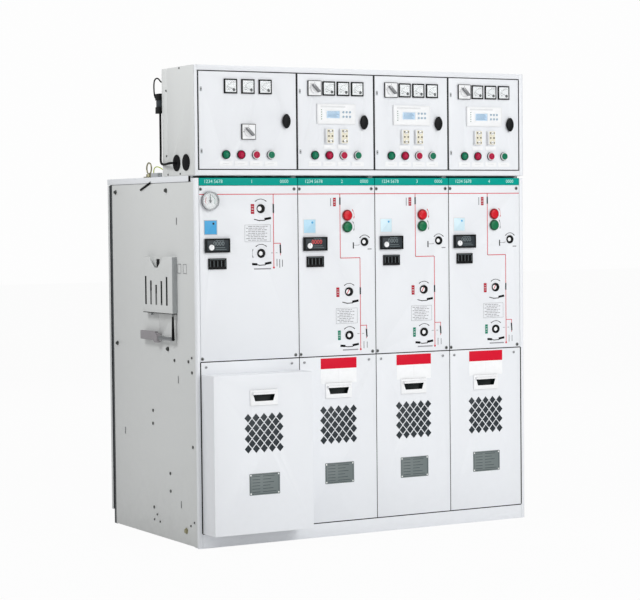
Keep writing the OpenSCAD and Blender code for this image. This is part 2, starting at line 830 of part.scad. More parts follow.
// Oval lock handle with its spindle and the latch tongue, shown unlocked
module door_lock(i) {
  x = lock_centre_x(i);
  y = front_y - seat - 2 - seat;
  tongue_y = stop_y + sheet + 1;
  color(black) {
    translate([x, y, lock_z]) rotate([90, 0, 0]) linear_extrude(10) oval(lock_w, lock_h);
    bar_y(x, y - cut, lock_z, 5, tongue_y + 3 - y + cut);
    block([x - 8, tongue_y, lock_z - 10], [x + 8, tongue_y + 3, lock_z + tongue_l]);
  }
}

// An upright oval where two large circles overlap, its tips cut blunt
module oval(w, h) {
  r = (w * w + h * h) / 4 / w + 3;
  intersection() {
    translate([r - w / 2, 0]) circle(r = r, $fn = 80);
    translate([w / 2 - r, 0]) circle(r = r, $fn = 80);
    square([w, h], center = true);
  }
}

// Selector knob: disc, grip bar and spindle
module selector_knob(i) {
  x = selector_x(i);
  z = selector_z(i);
  y = front_y - seat - 6 - seat;
  color(shade_grey) {
    bar_y(x, y - 5, z, 19, 5);
    translate([x, y - 5, z]) rotate([90, 0, 0]) rotate(45) linear_extrude(13)
      union() {
        square([9, 34], center = true);
        translate([0, 17]) circle(d = 9);
        translate([0, -17]) circle(d = 9);
      }
    bar_y(x, y - cut, z, 3, 25);
  }
}

// Cap of a push-button: k is 2 for the red one and 3 for the green one
module push_button(i, k, tint) {
  x = lamp_x(i, k);
  color(tint)
    difference() {
      bar_y(x, front_y - 6 - cap_travel - 1, lamp_z, cap_r, 18);
      translate([x, front_y - 6 - cap_travel - 24, lamp_z]) sphere(r = 24);
    }
}

// One lower cover: folded tray or boxed-out shell, pull handle, grille and screws
module lower_cover(i) {
  x_a = bay_left(i) + joint / 2;
  x_b = bay_right(i) - joint / 2;
  z_b = split_z - joint / 2;
  face_y = i == 1 ? front_y - bulge_d : front_y;
  color(light_grey)
    difference() {
      union() {
        if (i == 1) {
          boxed_cover(x_a, x_b, z_b);
        } else {
          tray(x_a, x_b, cover_low_z, z_b, front_y, fold, sheet);
        }
      }
      grille_cuts(bay_mid(i), face_y);
      block([bay_mid(i) - pull_w / 2 + 8, face_y - cut, pull_z - pull_h / 2 + 8],
            [bay_mid(i) + pull_w / 2 - 8, face_y + sheet + cut, pull_z + pull_h / 2 - 8]);
    }
  pull_handle(bay_mid(i), face_y);
  grille_baffle(bay_mid(i), face_y);
}

// Cover with a flat top flange and a box that stands forward of it
module boxed_cover(x_a, x_b, z_b) {
  box_top_z = z_b - bulge_flange;
  difference() {
    union() {
      block([x_a, front_y, cover_low_z], [x_b, front_y + fold, z_b]);
      block([x_a, front_y - bulge_d, cover_low_z], [x_b, front_y + cut, box_top_z]);
    }
    block([x_a + sheet, front_y + sheet, cover_low_z + sheet],
          [x_b - sheet, front_y + fold + cut, z_b - sheet]);
    block([x_a + sheet, front_y - bulge_d + sheet, cover_low_z + sheet],
          [x_b - sheet, front_y + fold, box_top_z - sheet]);
  }
}

// Staggered diamonds: full rows with shorter rows between them
module grille_cuts(x, y) {
  for (row = [0:2 * grille_rows - 2]) {
    count = row % 2 == 0 ? grille_cols : grille_cols - 1;
    for (col = [0:count - 1])
      diamond(x + (col - (count - 1) / 2) * grille_dx,
              y, grille_z + (row - grille_rows + 1) * grille_dz / 2);
  }
}

module diamond(x, y, z) {
  translate([x, y + sheet + cut, z]) rotate([90, 0, 0]) linear_extrude(sheet + 2 * cut)
    polygon([[-diamond_w / 2, 0], [0, -diamond_h / 2], [diamond_w / 2, 0], [0, diamond_h / 2]]);
}

// Dark splash baffle behind the grille
module grille_baffle(x, y) {
  w = grille_cols * grille_dx + 10;
  h = grille_rows * grille_dz + 10;
  color(dark_grey)
    block([x - w / 2, y + sheet + seat, grille_z - h / 2],
          [x + w / 2, y + sheet + seat + 1, grille_z + h / 2]);
}

// Pull handle: flat plate, hooded lip and a cup that is narrower at its foot
module pull_handle(x, y) {
  plate_t = 3;
  hood = 12;
  back_y = y - seat;
  color(white)
    difference() {
      union() {
        block([x - pull_w / 2, back_y - plate_t, pull_z - pull_h / 2],
              [x + pull_w / 2, back_y, pull_z + pull_h / 2]);
        translate([x, 0, pull_z]) rotate([90, 0, 90])
          translate([0, 0, -cup_w / 2 - 4]) linear_extrude(cup_w + 8)
            polygon([[back_y - 1, pull_h / 2 - 8], [back_y - plate_t - 1, pull_h / 2 - 8],
                     [back_y - plate_t - hood, cup_h / 2 + 5], [back_y - plate_t - hood, cup_h / 2 - 1],
                     [back_y - 1, cup_h / 2 - 1]]);
        cup(x, back_y - 1, cup_d + 1, 4);
      }
      cup(x, back_y - plate_t - cut, cup_d + plate_t + cut - 2, 0);
    }
}

// Solid of the cup, grown all round by a wall
module cup(x, y, deep, wall) {
  translate([x, y + deep, pull_z]) rotate([90, 0, 0]) linear_extrude(deep)
    polygon([[-cup_w / 2 - wall, cup_h / 2 - 2 + wall / 2], [-cup_w / 2 + 8 - wall, -cup_h / 2 - wall],
             [cup_w / 2 - 8 + wall, -cup_h / 2 - wall], [cup_w / 2 + wall, cup_h / 2 - 2 + wall / 2]]);
}

// Outline of the stepped tank in depth and height, drawn in by t
function tank_outline(t) = [
  [front_y + mech_d + t, tank_step_z + t],
  [front_y + mech_d + t, tank_top_z - t],
  [tank_rear_y - t, tank_top_z - t],
  [tank_rear_y - t, tank_bottom_z + t],
  [front_y + cable_d + t, tank_bottom_z + t],
  [front_y + cable_d + t, tank_step_z + t]
];

module tank_solid(t) {
  translate([-tank_half_w + t, 0, 0]) rotate([90, 0, 90])
    linear_extrude(2 * (tank_half_w - t)) polygon(tank_outline(t));
}

// Welded stainless tank with one hole for each cable bushing
module gas_tank() {
  color(steel)
    difference() {
      tank_solid(0);
      tank_solid(tank_wall);
      for (i = [1:4], k = [-1:1])
        bar_y(bay_mid(i) + k * phase_dx, front_y + cable_d - cut, bushing_z,
              bushing_r - 4, tank_wall + 2 * cut);
    }
}

// Three busbars inside the tank and the earth bar along the cable compartments
module copper_bars() {
  color(copper) {
    for (y = phase_ys)
      block([-tank_half_w + bar_end, y - bar_t / 2, pole_top_z + seat],
            [tank_half_w - bar_end, y + bar_t / 2, pole_top_z + seat + bar_h]);
    block([first_x + 10, front_y + cable_d - seat - earth_bar_t, tank_bottom_z + 20],
          [last_x - 10, front_y + cable_d - seat, tank_bottom_z + 20 + earth_bar_h]);
  }
}

// Cast-resin bushings in front of the tank, and the poles behind them up to the busbars
module cable_bushings() {
  color(resin)
    for (i = [1:4], k = [-1:1]) {
      cable_bushing(bay_mid(i) + k * phase_dx, phase_ys[k + 1]);
      translate([bay_mid(i) + k * phase_dx, phase_ys[k + 1], tank_bottom_z + tank_wall + seat])
        cylinder(r = bushing_r, h = pole_top_z - tank_bottom_z - tank_wall - seat);
    }
}

module cable_bushing(x, pole_y) {
  root_y = front_y + cable_d - seat;
  flange_t = 12;
  union() {
    translate([x, root_y - flange_t + cut, bushing_z]) rotate([90, 0, 0])
      cylinder(r1 = bushing_r - 3, r2 = bushing_tip_r, h = bushing_l);
    bar_y(x, root_y - flange_t, bushing_z, bushing_r + 8, flange_t);
    bar_y(x, root_y - cut, bushing_z, bushing_r - 4 - seat, pole_y - bushing_r - seat - root_y + cut);
  }
}

// Frame of each operating mechanism: front plate with bearings, rear plate and four spacers
module mechanism_frames() {
  for (i = [1:4]) color(steel) mechanism_frame(i);
}

module mechanism_frame(i) {
  x_a = bay_left(i) + mech_inset;
  x_b = bay_right(i) - mech_inset;
  plate = plinth_wall;
  difference() {
    union() {
      block([x_a, mech_front_y, mech_low_z], [x_b, mech_front_y + plate, mech_high_z]);
      for (p = shaft_places(i))
        bar_y(bay_left(i) + p[0], mech_front_y - 6, p[1], shaft_r + 7, 6 + plate + 8);
    }
    for (p = shaft_places(i))
      bar_y(bay_left(i) + p[0], mech_front_y - 8, p[1], shaft_r + fit, plate + 20);
    if (i > 1)
      for (z = [open_z, close_z])
        bar_y(bay_right(i) - button_in, mech_front_y - cut, z, stem_r + fit, plate + 2 * cut);
  }
  difference() {
    block([x_a, mech_back_y, mech_low_z], [x_b, mech_back_y + plate, mech_high_z]);
    for (p = shaft_places(i))
      bar_y(bay_left(i) + p[0], mech_back_y - cut, p[1], shaft_r + fit, plate + 2 * cut);
  }
  for (x = [x_a + 15, x_b - 15], z = [mech_low_z + 15, mech_high_z - 15])
    bar_y(x, mech_front_y + plate + seat, z, 7, mech_back_y - mech_front_y - plate - 2 * seat);
}

// One operating shaft: socketed head behind the panel hole, bar to the rear plate, cam disc
module operating_shaft(i, p) {
  x = bay_left(i) + p[0];
  head_l = mech_front_y - 6 - seat - shaft_front_y;
  disc_y = (mech_front_y + mech_back_y) / 2;
  color(steel)
    difference() {
      union() {
        bar_y(x, shaft_front_y, p[1], shaft_head_r, head_l);
        bar_y(x, shaft_front_y + cut, p[1], shaft_r, mech_back_y + plinth_wall - cut - shaft_front_y);
        bar_y(x, disc_y, p[1], shaft_r + 14, 8);
        block([x - 5, disc_y, p[1]], [x + 5, disc_y + 8, p[1] + shaft_r + 24]);
      }
      translate([x, shaft_front_y + socket_depth, p[1]]) rotate([90, 0, 0])
        cylinder(d = socket_d, h = socket_depth + cut, $fn = 6);
    }
}

// Breaker button: domed cap in the panel hole, stem through the mechanism plate
module breaker_button(i, z, r, tint) {
  x = bay_right(i) - button_in;
  cap_y = front_y - button_proud;
  color(tint)
    union() {
      bar_y(x, cap_y, z, r, button_proud + sheet + cut);
      bar_y(x, front_y + sheet, z, stem_r, mech_front_y + 12 - front_y);
    }
}

// Gauge body, voltage indicators, fault indicator blocks and button rings
module panel_instruments() {
  gauge_body();
  for (i = [1:4]) voltage_indicator(i);
  color(black)
    for (i = [2:4]) {
      guard_ring(bay_right(i) - button_in, open_z, open_r);
      guard_ring(bay_right(i) - button_in, close_z, close_r);
    }
}

module guard_ring(x, z, r) {
  difference() {
    bar_y(x, front_y - seat - 4, z, r + 3, 4);
    bar_y(x, front_y - seat - 4 - cut, z, r + 0.6, 4 + 2 * cut);
  }
}

module gauge_body() {
  x = first_x + gauge_x;
  color(steel)
    difference() {
      union() {
        bar_y(x, front_y - gauge_proud, gauge_z, gauge_r, gauge_proud - seat);
        bar_y(x, front_y - seat - cut, gauge_z, gauge_r - 5, 30);
      }
      bar_y(x, front_y - gauge_proud - cut, gauge_z, gauge_r - 4, 8 + cut);
      bar_y(x, front_y - gauge_proud, gauge_z, 2 + fit, gauge_proud + 14);
    }
}

// Pointer of the gauge on its spindle, in front of the dial
module gauge_needle() {
  x = first_x + gauge_x;
  y = front_y - gauge_proud + 4;
  color(black) {
    bar_y(x, y, gauge_z, 2, 20);
    bar_y(x, y, gauge_z, 5, 1.5);
    translate([x, y + 1.5, gauge_z]) rotate([90, 0, 0]) linear_extrude(1.5)
      polygon([[-2, -9], [2, -9], [0.6, gauge_r - 9], [-0.6, gauge_r - 9]]);
  }
}

// Voltage indicator with a test knob, and the slotted fault indicator below it
module voltage_indicator(i) {
  mid_x = bay_left(i) + indicator_x + indicator_w / 2;
  y = front_y - seat;
  color(black) {
    difference() {
      block([mid_x - indicator_w / 2, y - instrument_proud, indicator_z - indicator_h / 2],
            [mid_x + indicator_w / 2, y, indicator_z + indicator_h / 2]);
      block([mid_x - 8, y - instrument_proud - cut, indicator_z - 14],
            [mid_x + 44, y - instrument_proud + 1.5, indicator_z + 14]);
    }
    block([mid_x - indicator_w / 2 + 8, y - cut, indicator_z - indicator_h / 2 + 8],
          [mid_x + indicator_w / 2 - 8, front_y + 30, indicator_z + indicator_h / 2 - 8]);
    bar_y(mid_x - 27, y - instrument_proud - 3, indicator_z - 5, 11, 4);
    difference() {
      block([mid_x - block_w / 2, y - instrument_proud, block_z - block_h / 2],
            [mid_x + block_w / 2, y, block_z + block_h / 2]);
      for (k = [-1.5:1:1.5])
        block([mid_x + k * 16 - 3, y - instrument_proud - cut, block_z - 11],
              [mid_x + k * 16 + 3, y - 1, block_z + 11]);
    }
    block([mid_x - block_w / 2 + 8, y - cut, block_z - block_h / 2 + 8],
          [mid_x + block_w / 2 - 8, front_y + 30, block_z + block_h / 2 - 8]);
  }
}

// Sheet pocket on the left side, with the clip plate that holds the lever below it
module document_pocket() {
  y_a = front_y + pocket_y;
  y_b = y_a + pocket_w;
  mid_y = (y_a + y_b) / 2 + slot_shift;
  z_b = pocket_z + pocket_h;
  slot_high = [142, 125, 109, 125, 142];
  clip_plate_z = lever_z - 14;
  clip_plate_l = 155;
  notch_w = 138;
  notch_h = 42;
  color(light_grey) {
    difference() {
      block([pocket_front_x, y_a, pocket_z], [pocket_back_x, y_b, z_b]);
      block([pocket_front_x + pocket_sheet, y_a + pocket_sheet, pocket_z + pocket_sheet],
            [pocket_back_x - pocket_sheet, y_b - pocket_sheet, z_b + cut]);
      translate([pocket_front_x - cut, mid_y, z_b]) rotate([90, 0, 90])
        linear_extrude(pocket_sheet + 2 * cut)
          polygon([[-notch_w / 2, cut], [notch_w / 2, cut],
                   [notch_w / 10, -notch_h], [-notch_w / 10, -notch_h]]);
      for (k = [0:4])
        block([pocket_front_x - cut, mid_y + (k - 2) * slot_pitch - slot_w / 2, pocket_z + 30],
              [pocket_front_x + pocket_sheet + cut, mid_y + (k - 2) * slot_pitch + slot_w / 2,
               pocket_z + slot_high[k]]);
    }
    block([pocket_back_x - 1.5, front_y + lever_y + 4, clip_plate_z],
          [pocket_back_x, front_y + lever_y + 4 + clip_plate_l, pocket_z]);
    for (y = [y_a + 30, y_b - 45])
      block([left_x - 8, y, pocket_z - 14], [pocket_back_x, y + 12, pocket_z + pocket_sheet]);
    for (y = clip_ys) lever_clip(front_y + y);
  }
}

// Spring clip, open to the outside
module lever_clip(y) {
  block([lever_x - 4, y, lever_z - lever_r - 0.4 - 1.6], [pocket_back_x, y + 10, lever_z - lever_r - 0.4]);
  block([lever_x - 4, y, lever_z + lever_r + 0.4], [pocket_back_x, y + 10, lever_z + lever_r + 0.4 + 1.6]);
}

// Loose operating lever: bar with a bent end, hub and flat grip
module operating_lever() {
  hub_y = front_y + lever_y + lever_l - 13;
  leg_l = 88;
  grip_l = 140;
  color(dark_grey)
    union() {
      bar_y(lever_x, front_y + lever_y, lever_z, lever_r, lever_l);
      translate([lever_x, front_y + lever_y, lever_z]) {
        sphere(r = lever_r);
        cylinder(r1 = lever_r - 1, r2 = lever_r - 3, h = leg_l);
      }
      bar_x(lever_x - 10, hub_y, lever_z, 19, 20);
      block([lever_x - 6, hub_y + 5, lever_z - 10], [lever_x + 6, hub_y + 5 + grip_l, lever_z + 24]);
    }
}

// Zinc-plated hardware: side bolts on washers, lifting eyes, earth bolt, rear cover bolts
module fasteners() {
  color(zinc) {
    for (side = [0, 1]) mirror([side, 0, 0]) {
      for (y = [front_y + bolt_y, rear_y - bolt_rear], z = [split_z + bolt_up, deck_h - bolt_down])
        side_bolt(y, z, 9);
      side_bolt(front_y + earth_bolt_y, earth_bolt_z, 12);
      for (p = side_screws)
        translate([side_face_x - seat, front_y + p[0], p[1]]) rotate([0, -90, 0]) cylinder(r = 6, h = 2.5);
      lifting_eye();
    }
    for (i = [1:4], s = [-1, 1], z = [cover_low_z + 40, deck_h - roof_fold - 42])
      translate([bay_mid(i) + s * (bay_width(i) / 2 - 30), rear_y + seat, z]) rotate([-90, 0, 0]) {
        cylinder(r = 9, h = 2);
        cylinder(r = 7, h = 7, $fn = 6);
      }
  }
}

module side_bolt(y, z, washer_r) {
  translate([side_face_x - seat, y, z]) rotate([0, -90, 0]) {
    cylinder(r = washer_r, h = 2);
    cylinder(r = washer_r * 0.72, h = 8, $fn = 6);
  }
}

// Lifting eye: base plate, hexagon nut and a ring that stands in line with the depth
module lifting_eye() {
  ring_out_r = 25;
  wire_r = 3;
  translate([left_x + 24, front_y + eye_y, deck_h + seat]) {
    translate([-17, -17, 0]) cube([34, 34, 4]);
    cylinder(r = 13, h = 14, $fn = 6);
    translate([0, 0, 12 + ring_out_r]) rotate([0, 90, 0])
      rotate_extrude() translate([ring_out_r - wire_r, 0]) circle(r = wire_r);
  }
}

// Rubber grommets of the control box and the plug blocks of its wiring
module cable_fittings() {
  color(black) {
    for (y = grommet_ys) grommet(front_y + y, y == grommet_ys[1]);
    for (k = [0:2])
      block([left_x - 9 + (k == 1 ? 2 : 0), box_rear_y + seat, plug_z + k * plug_h],
            [left_x + 9, plug_rear_y - (k == 1 ? 4 : 0), plug_z + (k + 1) * plug_h - seat]);
    translate([left_x + 4, box_rear_y + terminal_back, deck_h + seat]) cube([22, terminal_l, 17 - seat]);
  }
}

// Grommet with lips on both sides of the sheet; the rear one is pierced for its cable
module grommet(y, pierced) {
  lip = 3;
  difference() {
    union() {
      bar_x(left_x - lip, y, grommet_z, grommet_r + 2, lip - seat);
      bar_x(left_x - 1, y, grommet_z, grommet_r - seat, sheet + 3);
    }
    if (pierced) bar_x(left_x - lip - cut, y, grommet_z, cable_r + seat, sheet + 10);
  }
}

// Soft tubes, swept along points chosen by hand, each from the lower left rear corner of the control box
cable_r = 4.5;
loop_r = 2.8;
wire_r = 2;
control_route = [
  [15, -132, 50.5], [5, -132, 50.5], [-5, -132, 50.5], [-14, -129.5, 50.5], [-20.5, -123, 50.5],
  [-23, -114, 50], [-22, -95, 49], [-18, -75, 47.5], [-14, -55, 47], [-11, -35, 47],
  [-10, -21, 48], [-8, -6.5, 52], [-5, 4.5, 61], [-3, 9, 74], [-2, 9.5, 88], [-2, 9.5, 120],
  [-2, 9.5, 152], [-2, 9.5, 184], [-2, 9.5, 216], [-2, 9.5, 247.7]
];
loop_route = [
  [-2, 40.3, 308], [-2, 45.5, 308], [-2, 52.5, 310], [-2, 57.5, 315], [-2.5, 60.5, 323],
  [-3, 62.5, 338], [-3, 63.5, 353], [-2.5, 63.5, 368], [-2, 61, 378], [-1, 53.5, 385.5],
  [1, 43.5, 388], [3, 33.5, 385.5], [5, 26.5, 379], [6, 20.5, 373.5], [7, 13.5, 370.5],
  [7, 6.5, 370], [7, 0.3, 370]
];
earth_route = [
  [12, 107.5, 17.3], [12, 107.5, 24], [12, 106, 30], [12, 101.5, 35], [11.5, 95.5, 38],
  [11, 87.5, 40], [10.5, 78.5, 41], [10, 69.5, 41], [10, 60.5, 40], [10, 51.5, 38.5],
  [10, 42.5, 36.5], [10, 33.5, 34], [10, 24.5, 31], [10, 15.5, 28.5], [10, 7.5, 27],
  [10, 0.3, 27]
];

function unit(v) = v / norm(v);
function heading(p, i) = unit(p[min(i + 1, len(p) - 1)] - p[max(i - 1, 0)]);
function across(d) = unit(cross(d, abs(d[0]) < 0.8 ? [1, 0, 0] : [0, 0, 1]));
function ring_points(c, u, v, r) = [
  for (s = [0:tube_sides - 1]) c + r * (cos(360 * s / tube_sides) * u + sin(360 * s / tube_sides) * v)
];
// The first side direction of each ring, carried on from the ring before it
function carried(p, i) = i == 0
  ? across(heading(p, 0))
  : let (d = heading(p, i), u = carried(p, i - 1)) unit(u - (u * d) * d);
module tube(route, r) {
  n = len(route);
  rings = [for (i = [0:n - 1])
    let (d = heading(route, i), u = carried(route, i)) each ring_points(route[i], u, cross(d, u), r)];
  walls = [for (i = [0:n - 2], s = [0:tube_sides - 1])
    let (a = i * tube_sides, b = a + tube_sides, t = (s + 1) % tube_sides)
      each [[a + s, b + t, a + t], [a + s, b + s, b + t]]];
  start_cap = [for (s = [0:tube_sides - 1]) s];
  end_cap = [for (s = [0:tube_sides - 1]) n * tube_sides - 1 - s];
  polyhedron(points = rings, faces = concat(walls, [start_cap, end_cap]));
}

module on_box_corner() {
  translate([left_x, box_rear_y, deck_h]) children();
}

module control_cable() {
  color(black) on_box_corner() tube(control_route, cable_r);
}

module loop_cable() {
  color(black) on_box_corner() tube(loop_route, loop_r);
}

module earth_wire() {
  color([0.6, 0.7, 0.1]) on_box_corner() tube(earth_route, wire_r);
}

base_frame();
cabinet_frame();
side_and_rear_panels();
roof_tray();
operating_panels();
control_box();
gas_tank();
copper_bars();
cable_bushings();
mechanism_frames();
panel_instruments();
document_pocket();
fasteners();
cable_fittings();
control_cable();
loop_cable();
earth_wire();
gauge_needle();
operating_lever();
control_door(1);  // control_door_1
control_door(2);  // control_door_2
control_door(3);  // control_door_3
control_door(4);  // control_door_4
door_lock(1);  // door_lock_1
door_lock(2);  // door_lock_2
door_lock(3);  // door_lock_3
door_lock(4);  // door_lock_4
selector_knob(1);  // selector_knob_1
selector_knob(2);  // selector_knob_2
selector_knob(3);  // selector_knob_3
selector_knob(4);  // selector_knob_4
push_button(1, 2, signal_red);  // red_push_button_1
push_button(2, 2, signal_red);  // red_push_button_2
push_button(3, 2, signal_red);  // red_push_button_3
push_button(4, 2, signal_red);  // red_push_button_4
push_button(1, 3, signal_green);  // green_push_button_1
push_button(2, 3, signal_green);  // green_push_button_2
push_button(3, 3, signal_green);  // green_push_button_3
push_button(4, 3, signal_green);  // green_push_button_4
lower_cover(1);  // lower_cover_1
lower_cover(2);  // lower_cover_2
lower_cover(3);  // lower_cover_3
lower_cover(4);  // lower_cover_4
operating_shaft(1, shaft_places(1)[0]);  // switch_shaft_1
operating_shaft(1, shaft_places(1)[1]);  // earthing_shaft_1
operating_shaft(2, shaft_places(2)[2]);  // charging_shaft_2
operating_shaft(3, shaft_places(3)[2]);  // charging_shaft_3
operating_shaft(4, shaft_places(4)[2]);  // charging_shaft_4
operating_shaft(2, shaft_places(2)[0]);  // switch_shaft_2
operating_shaft(3, shaft_places(3)[0]);  // switch_shaft_3
operating_shaft(4, shaft_places(4)[0]);  // switch_shaft_4
operating_shaft(2, shaft_places(2)[1]);  // earthing_shaft_2
operating_shaft(3, shaft_places(3)[1]);  // earthing_shaft_3
operating_shaft(4, shaft_places(4)[1]);  // earthing_shaft_4
breaker_button(2, open_z, open_r, signal_red);  // open_button_2
breaker_button(3, open_z, open_r, signal_red);  // open_button_3
breaker_button(4, open_z, open_r, signal_red);  // open_button_4
breaker_button(2, close_z, close_r, signal_green);  // close_button_2
breaker_button(3, close_z, close_r, signal_green);  // close_button_3
breaker_button(4, close_z, close_r, signal_green);  // close_button_4
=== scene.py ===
from math import atan2, cos, hypot, pi, radians, sin

import bpy
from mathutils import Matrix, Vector


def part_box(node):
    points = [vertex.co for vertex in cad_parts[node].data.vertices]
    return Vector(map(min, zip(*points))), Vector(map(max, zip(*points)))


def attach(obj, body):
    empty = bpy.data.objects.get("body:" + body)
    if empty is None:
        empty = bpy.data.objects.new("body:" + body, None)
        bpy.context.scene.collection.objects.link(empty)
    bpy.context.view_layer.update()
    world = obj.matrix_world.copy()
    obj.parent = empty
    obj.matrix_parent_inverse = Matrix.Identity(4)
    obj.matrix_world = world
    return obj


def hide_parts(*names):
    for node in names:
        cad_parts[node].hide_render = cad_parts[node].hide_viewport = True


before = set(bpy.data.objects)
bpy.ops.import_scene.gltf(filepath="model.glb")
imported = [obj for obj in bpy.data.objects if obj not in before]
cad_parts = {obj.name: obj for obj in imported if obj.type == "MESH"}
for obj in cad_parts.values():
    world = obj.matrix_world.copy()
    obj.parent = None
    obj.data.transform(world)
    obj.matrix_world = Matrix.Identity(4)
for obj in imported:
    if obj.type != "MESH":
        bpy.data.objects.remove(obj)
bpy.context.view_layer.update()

mm = 0.001
scene = bpy.context.scene
cabinet = "cabinet"


# Selecting and finishing

def pickNone():
    bpy.ops.object.select_all(action="DESELECT")


def pickOnly(obj):
    pickNone()
    obj.select_set(True)
    bpy.context.view_layer.objects.active = obj


def editOn(obj):
    pickOnly(obj)
    bpy.ops.object.mode_set(mode="EDIT")


def editOff():
    bpy.ops.object.mode_set(mode="OBJECT")


def clearPick(obj, kind):
    editOn(obj)
    bpy.ops.mesh.select_mode(type=kind)
    bpy.ops.mesh.select_all(action="DESELECT")
    editOff()


def pickEdges(obj, wanted):   # wanted gets both ends of each edge
    clearPick(obj, "EDGE")
    for edge in obj.data.edges:
        a, b = (obj.data.vertices[k].co for k in edge.vertices)
        edge.select = wanted(a, b)
    editOn(obj)


def pickFaces(obj, wanted):   # wanted gets the middle and the normal of each face
    clearPick(obj, "FACE")
    for face in obj.data.polygons:
        face.select = wanted(face.center, face.normal)
    editOn(obj)


def settle(obj, name):   # the place goes into the mesh
    obj.name = name
    obj.data.name = name
    pickOnly(obj)
    bpy.ops.object.transform_apply(location=True, rotation=True, scale=True)
    return obj


def applyModifier(obj, kind, **values):
    modifier = obj.modifiers.new(kind, kind)
    for key, value in values.items():
        setattr(modifier, key, value)
    pickOnly(obj)
    bpy.ops.object.modifier_apply(modifier=modifier.name)


def softenRim(obj, width, segments=2, angle=30):
    if width:
        applyModifier(obj, "BEVEL", width=width, segments=segments, limit_method="ANGLE",
                      angle_limit=radians(angle), loop_slide=False)
    pickOnly(obj)
    bpy.ops.object.shade_smooth_by_angle(angle=radians(35))


def dress(obj, body, material=None):   # material and the body it rides on
    if material:
        obj.data.materials.clear()
        obj.data.materials.append(material)
    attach(obj, body)
    return obj


def dressAll(pieces, body, ending=""):   # (piece, finish) each; ending goes after the names
    for piece, finish in pieces:
        dress(settle(piece, piece.name + ending), body, finish)


def off(c, x, y, z):   # the place x, y and z mm from c
    return c + Vector((x, y, z)) * mm


def around(c, x, y, z):   # lowest and highest corner; both ends of x, y and z in mm from c
    return off(c, x[0], y[0], z[0]), off(c, x[1], y[1], z[1])


def joinPieces(pieces, name=None):   # under the name of the first, if none is given
    pickNone()
    for piece in pieces:
        piece.select_set(True)
    bpy.context.view_layer.objects.active = pieces[0]
    bpy.ops.object.join()
    return settle(bpy.context.view_layer.objects.active, name or pieces[0].name)


# Forms that many pieces start from

def slab(name, low, high, corner=0.0, rim=0.3 * mm, along=1, steps=4):
    # a block whose corners are rounded as seen along one axis, and whose rims are softened
    low, high = Vector(low), Vector(high)
    pickNone()
    bpy.ops.mesh.primitive_cube_add(size=1, location=(low + high) / 2)
    obj = bpy.context.object
    obj.scale = high - low
    settle(obj, name)
    if corner:
        pickEdges(obj, lambda a, b: abs((b - a)[along]) > 0.5 * (high - low)[along])
        bpy.ops.mesh.bevel(offset=corner, offset_pct=0, segments=steps, affect="EDGES")
        editOff()
    softenRim(obj, rim)
    return obj


def disc(name, centre, radius, depth, axis=1, rim=0.3 * mm, sides=40):
    # a round plate or bar; centre is the middle of its depth
    turns = {0: (0, pi / 2, 0), 1: (pi / 2, 0, 0), 2: (0, 0, 0)}
    pickNone()
    bpy.ops.mesh.primitive_cylinder_add(vertices=sides, radius=radius, depth=depth,
                                        location=centre, rotation=turns[axis])
    obj = settle(bpy.context.object, name)
    softenRim(obj, rim, segments=2, angle=40)
    return obj


def pierce(obj, rimWidth):   # front and back are inset, and the middle is bridged through
    pickFaces(obj, lambda c, n: abs(n.y) > 0.9)
    bpy.ops.mesh.inset(thickness=rimWidth, use_even_offset=True)
    bpy.ops.mesh.bridge_edge_loops()
    editOff()


def ringPlate(name, centre, outer, inner, depth, rim=0.3 * mm, sides=48):   # flat round ring
    obj = disc(name, centre, outer, depth, rim=0, sides=sides)
    pierce(obj, outer - inner)
    softenRim(obj, rim, segments=2, angle=40)
    return obj


def frameRing(name, low, high, width, rim=0.2 * mm):   # flat rectangular ring
    obj = slab(name, low, high, rim=0)
    pierce(obj, width)
    softenRim(obj, rim)
    return obj


def arcBand(name, centre, radius, width, depth, start, end, sides=48):
    # part of a flat ring, from start to end in degrees clockwise from the top, cut by two planes
    obj = ringPlate(name, centre, radius + width / 2, radius - width / 2, depth, rim=0, sides=sides)
    for angle, side in ((start, 1), (end, -1)):
        across = Vector((cos(radians(angle)), 0, -sin(radians(angle)))) * side
        editOn(obj)
        bpy.ops.mesh.select_all(action="SELECT")
        bpy.ops.mesh.bisect(plane_co=centre, plane_no=across, use_fill=True, clear_inner=True)
        editOff()
    return obj


def strip(name, start, end, width, front, depth=0.3 * mm, soft=True):
    # a flat strip on a front face between two places given as (x, z); front is the face it lies on
    (xa, za), (xb, zb) = start, end
    pickNone()
    bpy.ops.mesh.primitive_cube_add(size=1, location=((xa + xb) / 2, front - depth / 2, (za + zb) / 2))
    obj = bpy.context.object
    obj.scale = (hypot(xb - xa, zb - za), depth, width)
    obj.rotation_euler = (0, -atan2(zb - za, xb - xa), 0)
    settle(obj, name)
    if soft:
        softenRim(obj, min(width, depth) * 0.2, segments=1)
    return obj


def dash(name, c, start, end, width, front, depth=0.3 * mm):   # ends as (x, z) from c, in mm as the width
    ends = [(c.x + x * mm, c.z + z * mm) for x, z in (start, end)]
    return strip(name, *ends, width * mm, front, depth)


def drawnLine(name, corners, width, front, depth=0.3 * mm):
    # a line with square turns, laid as strips that overlap at the corners
    pieces = []
    for (xa, za), (xb, zb) in zip(corners, corners[1:]):
        length = hypot(xb - xa, zb - za)
        ux, uz = (xb - xa) / length * width / 2, (zb - za) / length * width / 2
        pieces.append(strip(name, (xa - ux, za - uz), (xb + ux, zb + uz), width, front, depth))
    return joinPieces(pieces, name) if len(pieces) > 1 else settle(pieces[0], name)


def repeat(obj, name, shift):   # a copy with a mesh of its own
    pickOnly(obj)
    bpy.ops.object.duplicate()
    copy = bpy.context.object
    bpy.ops.transform.translate(value=shift)
    return settle(copy, name)


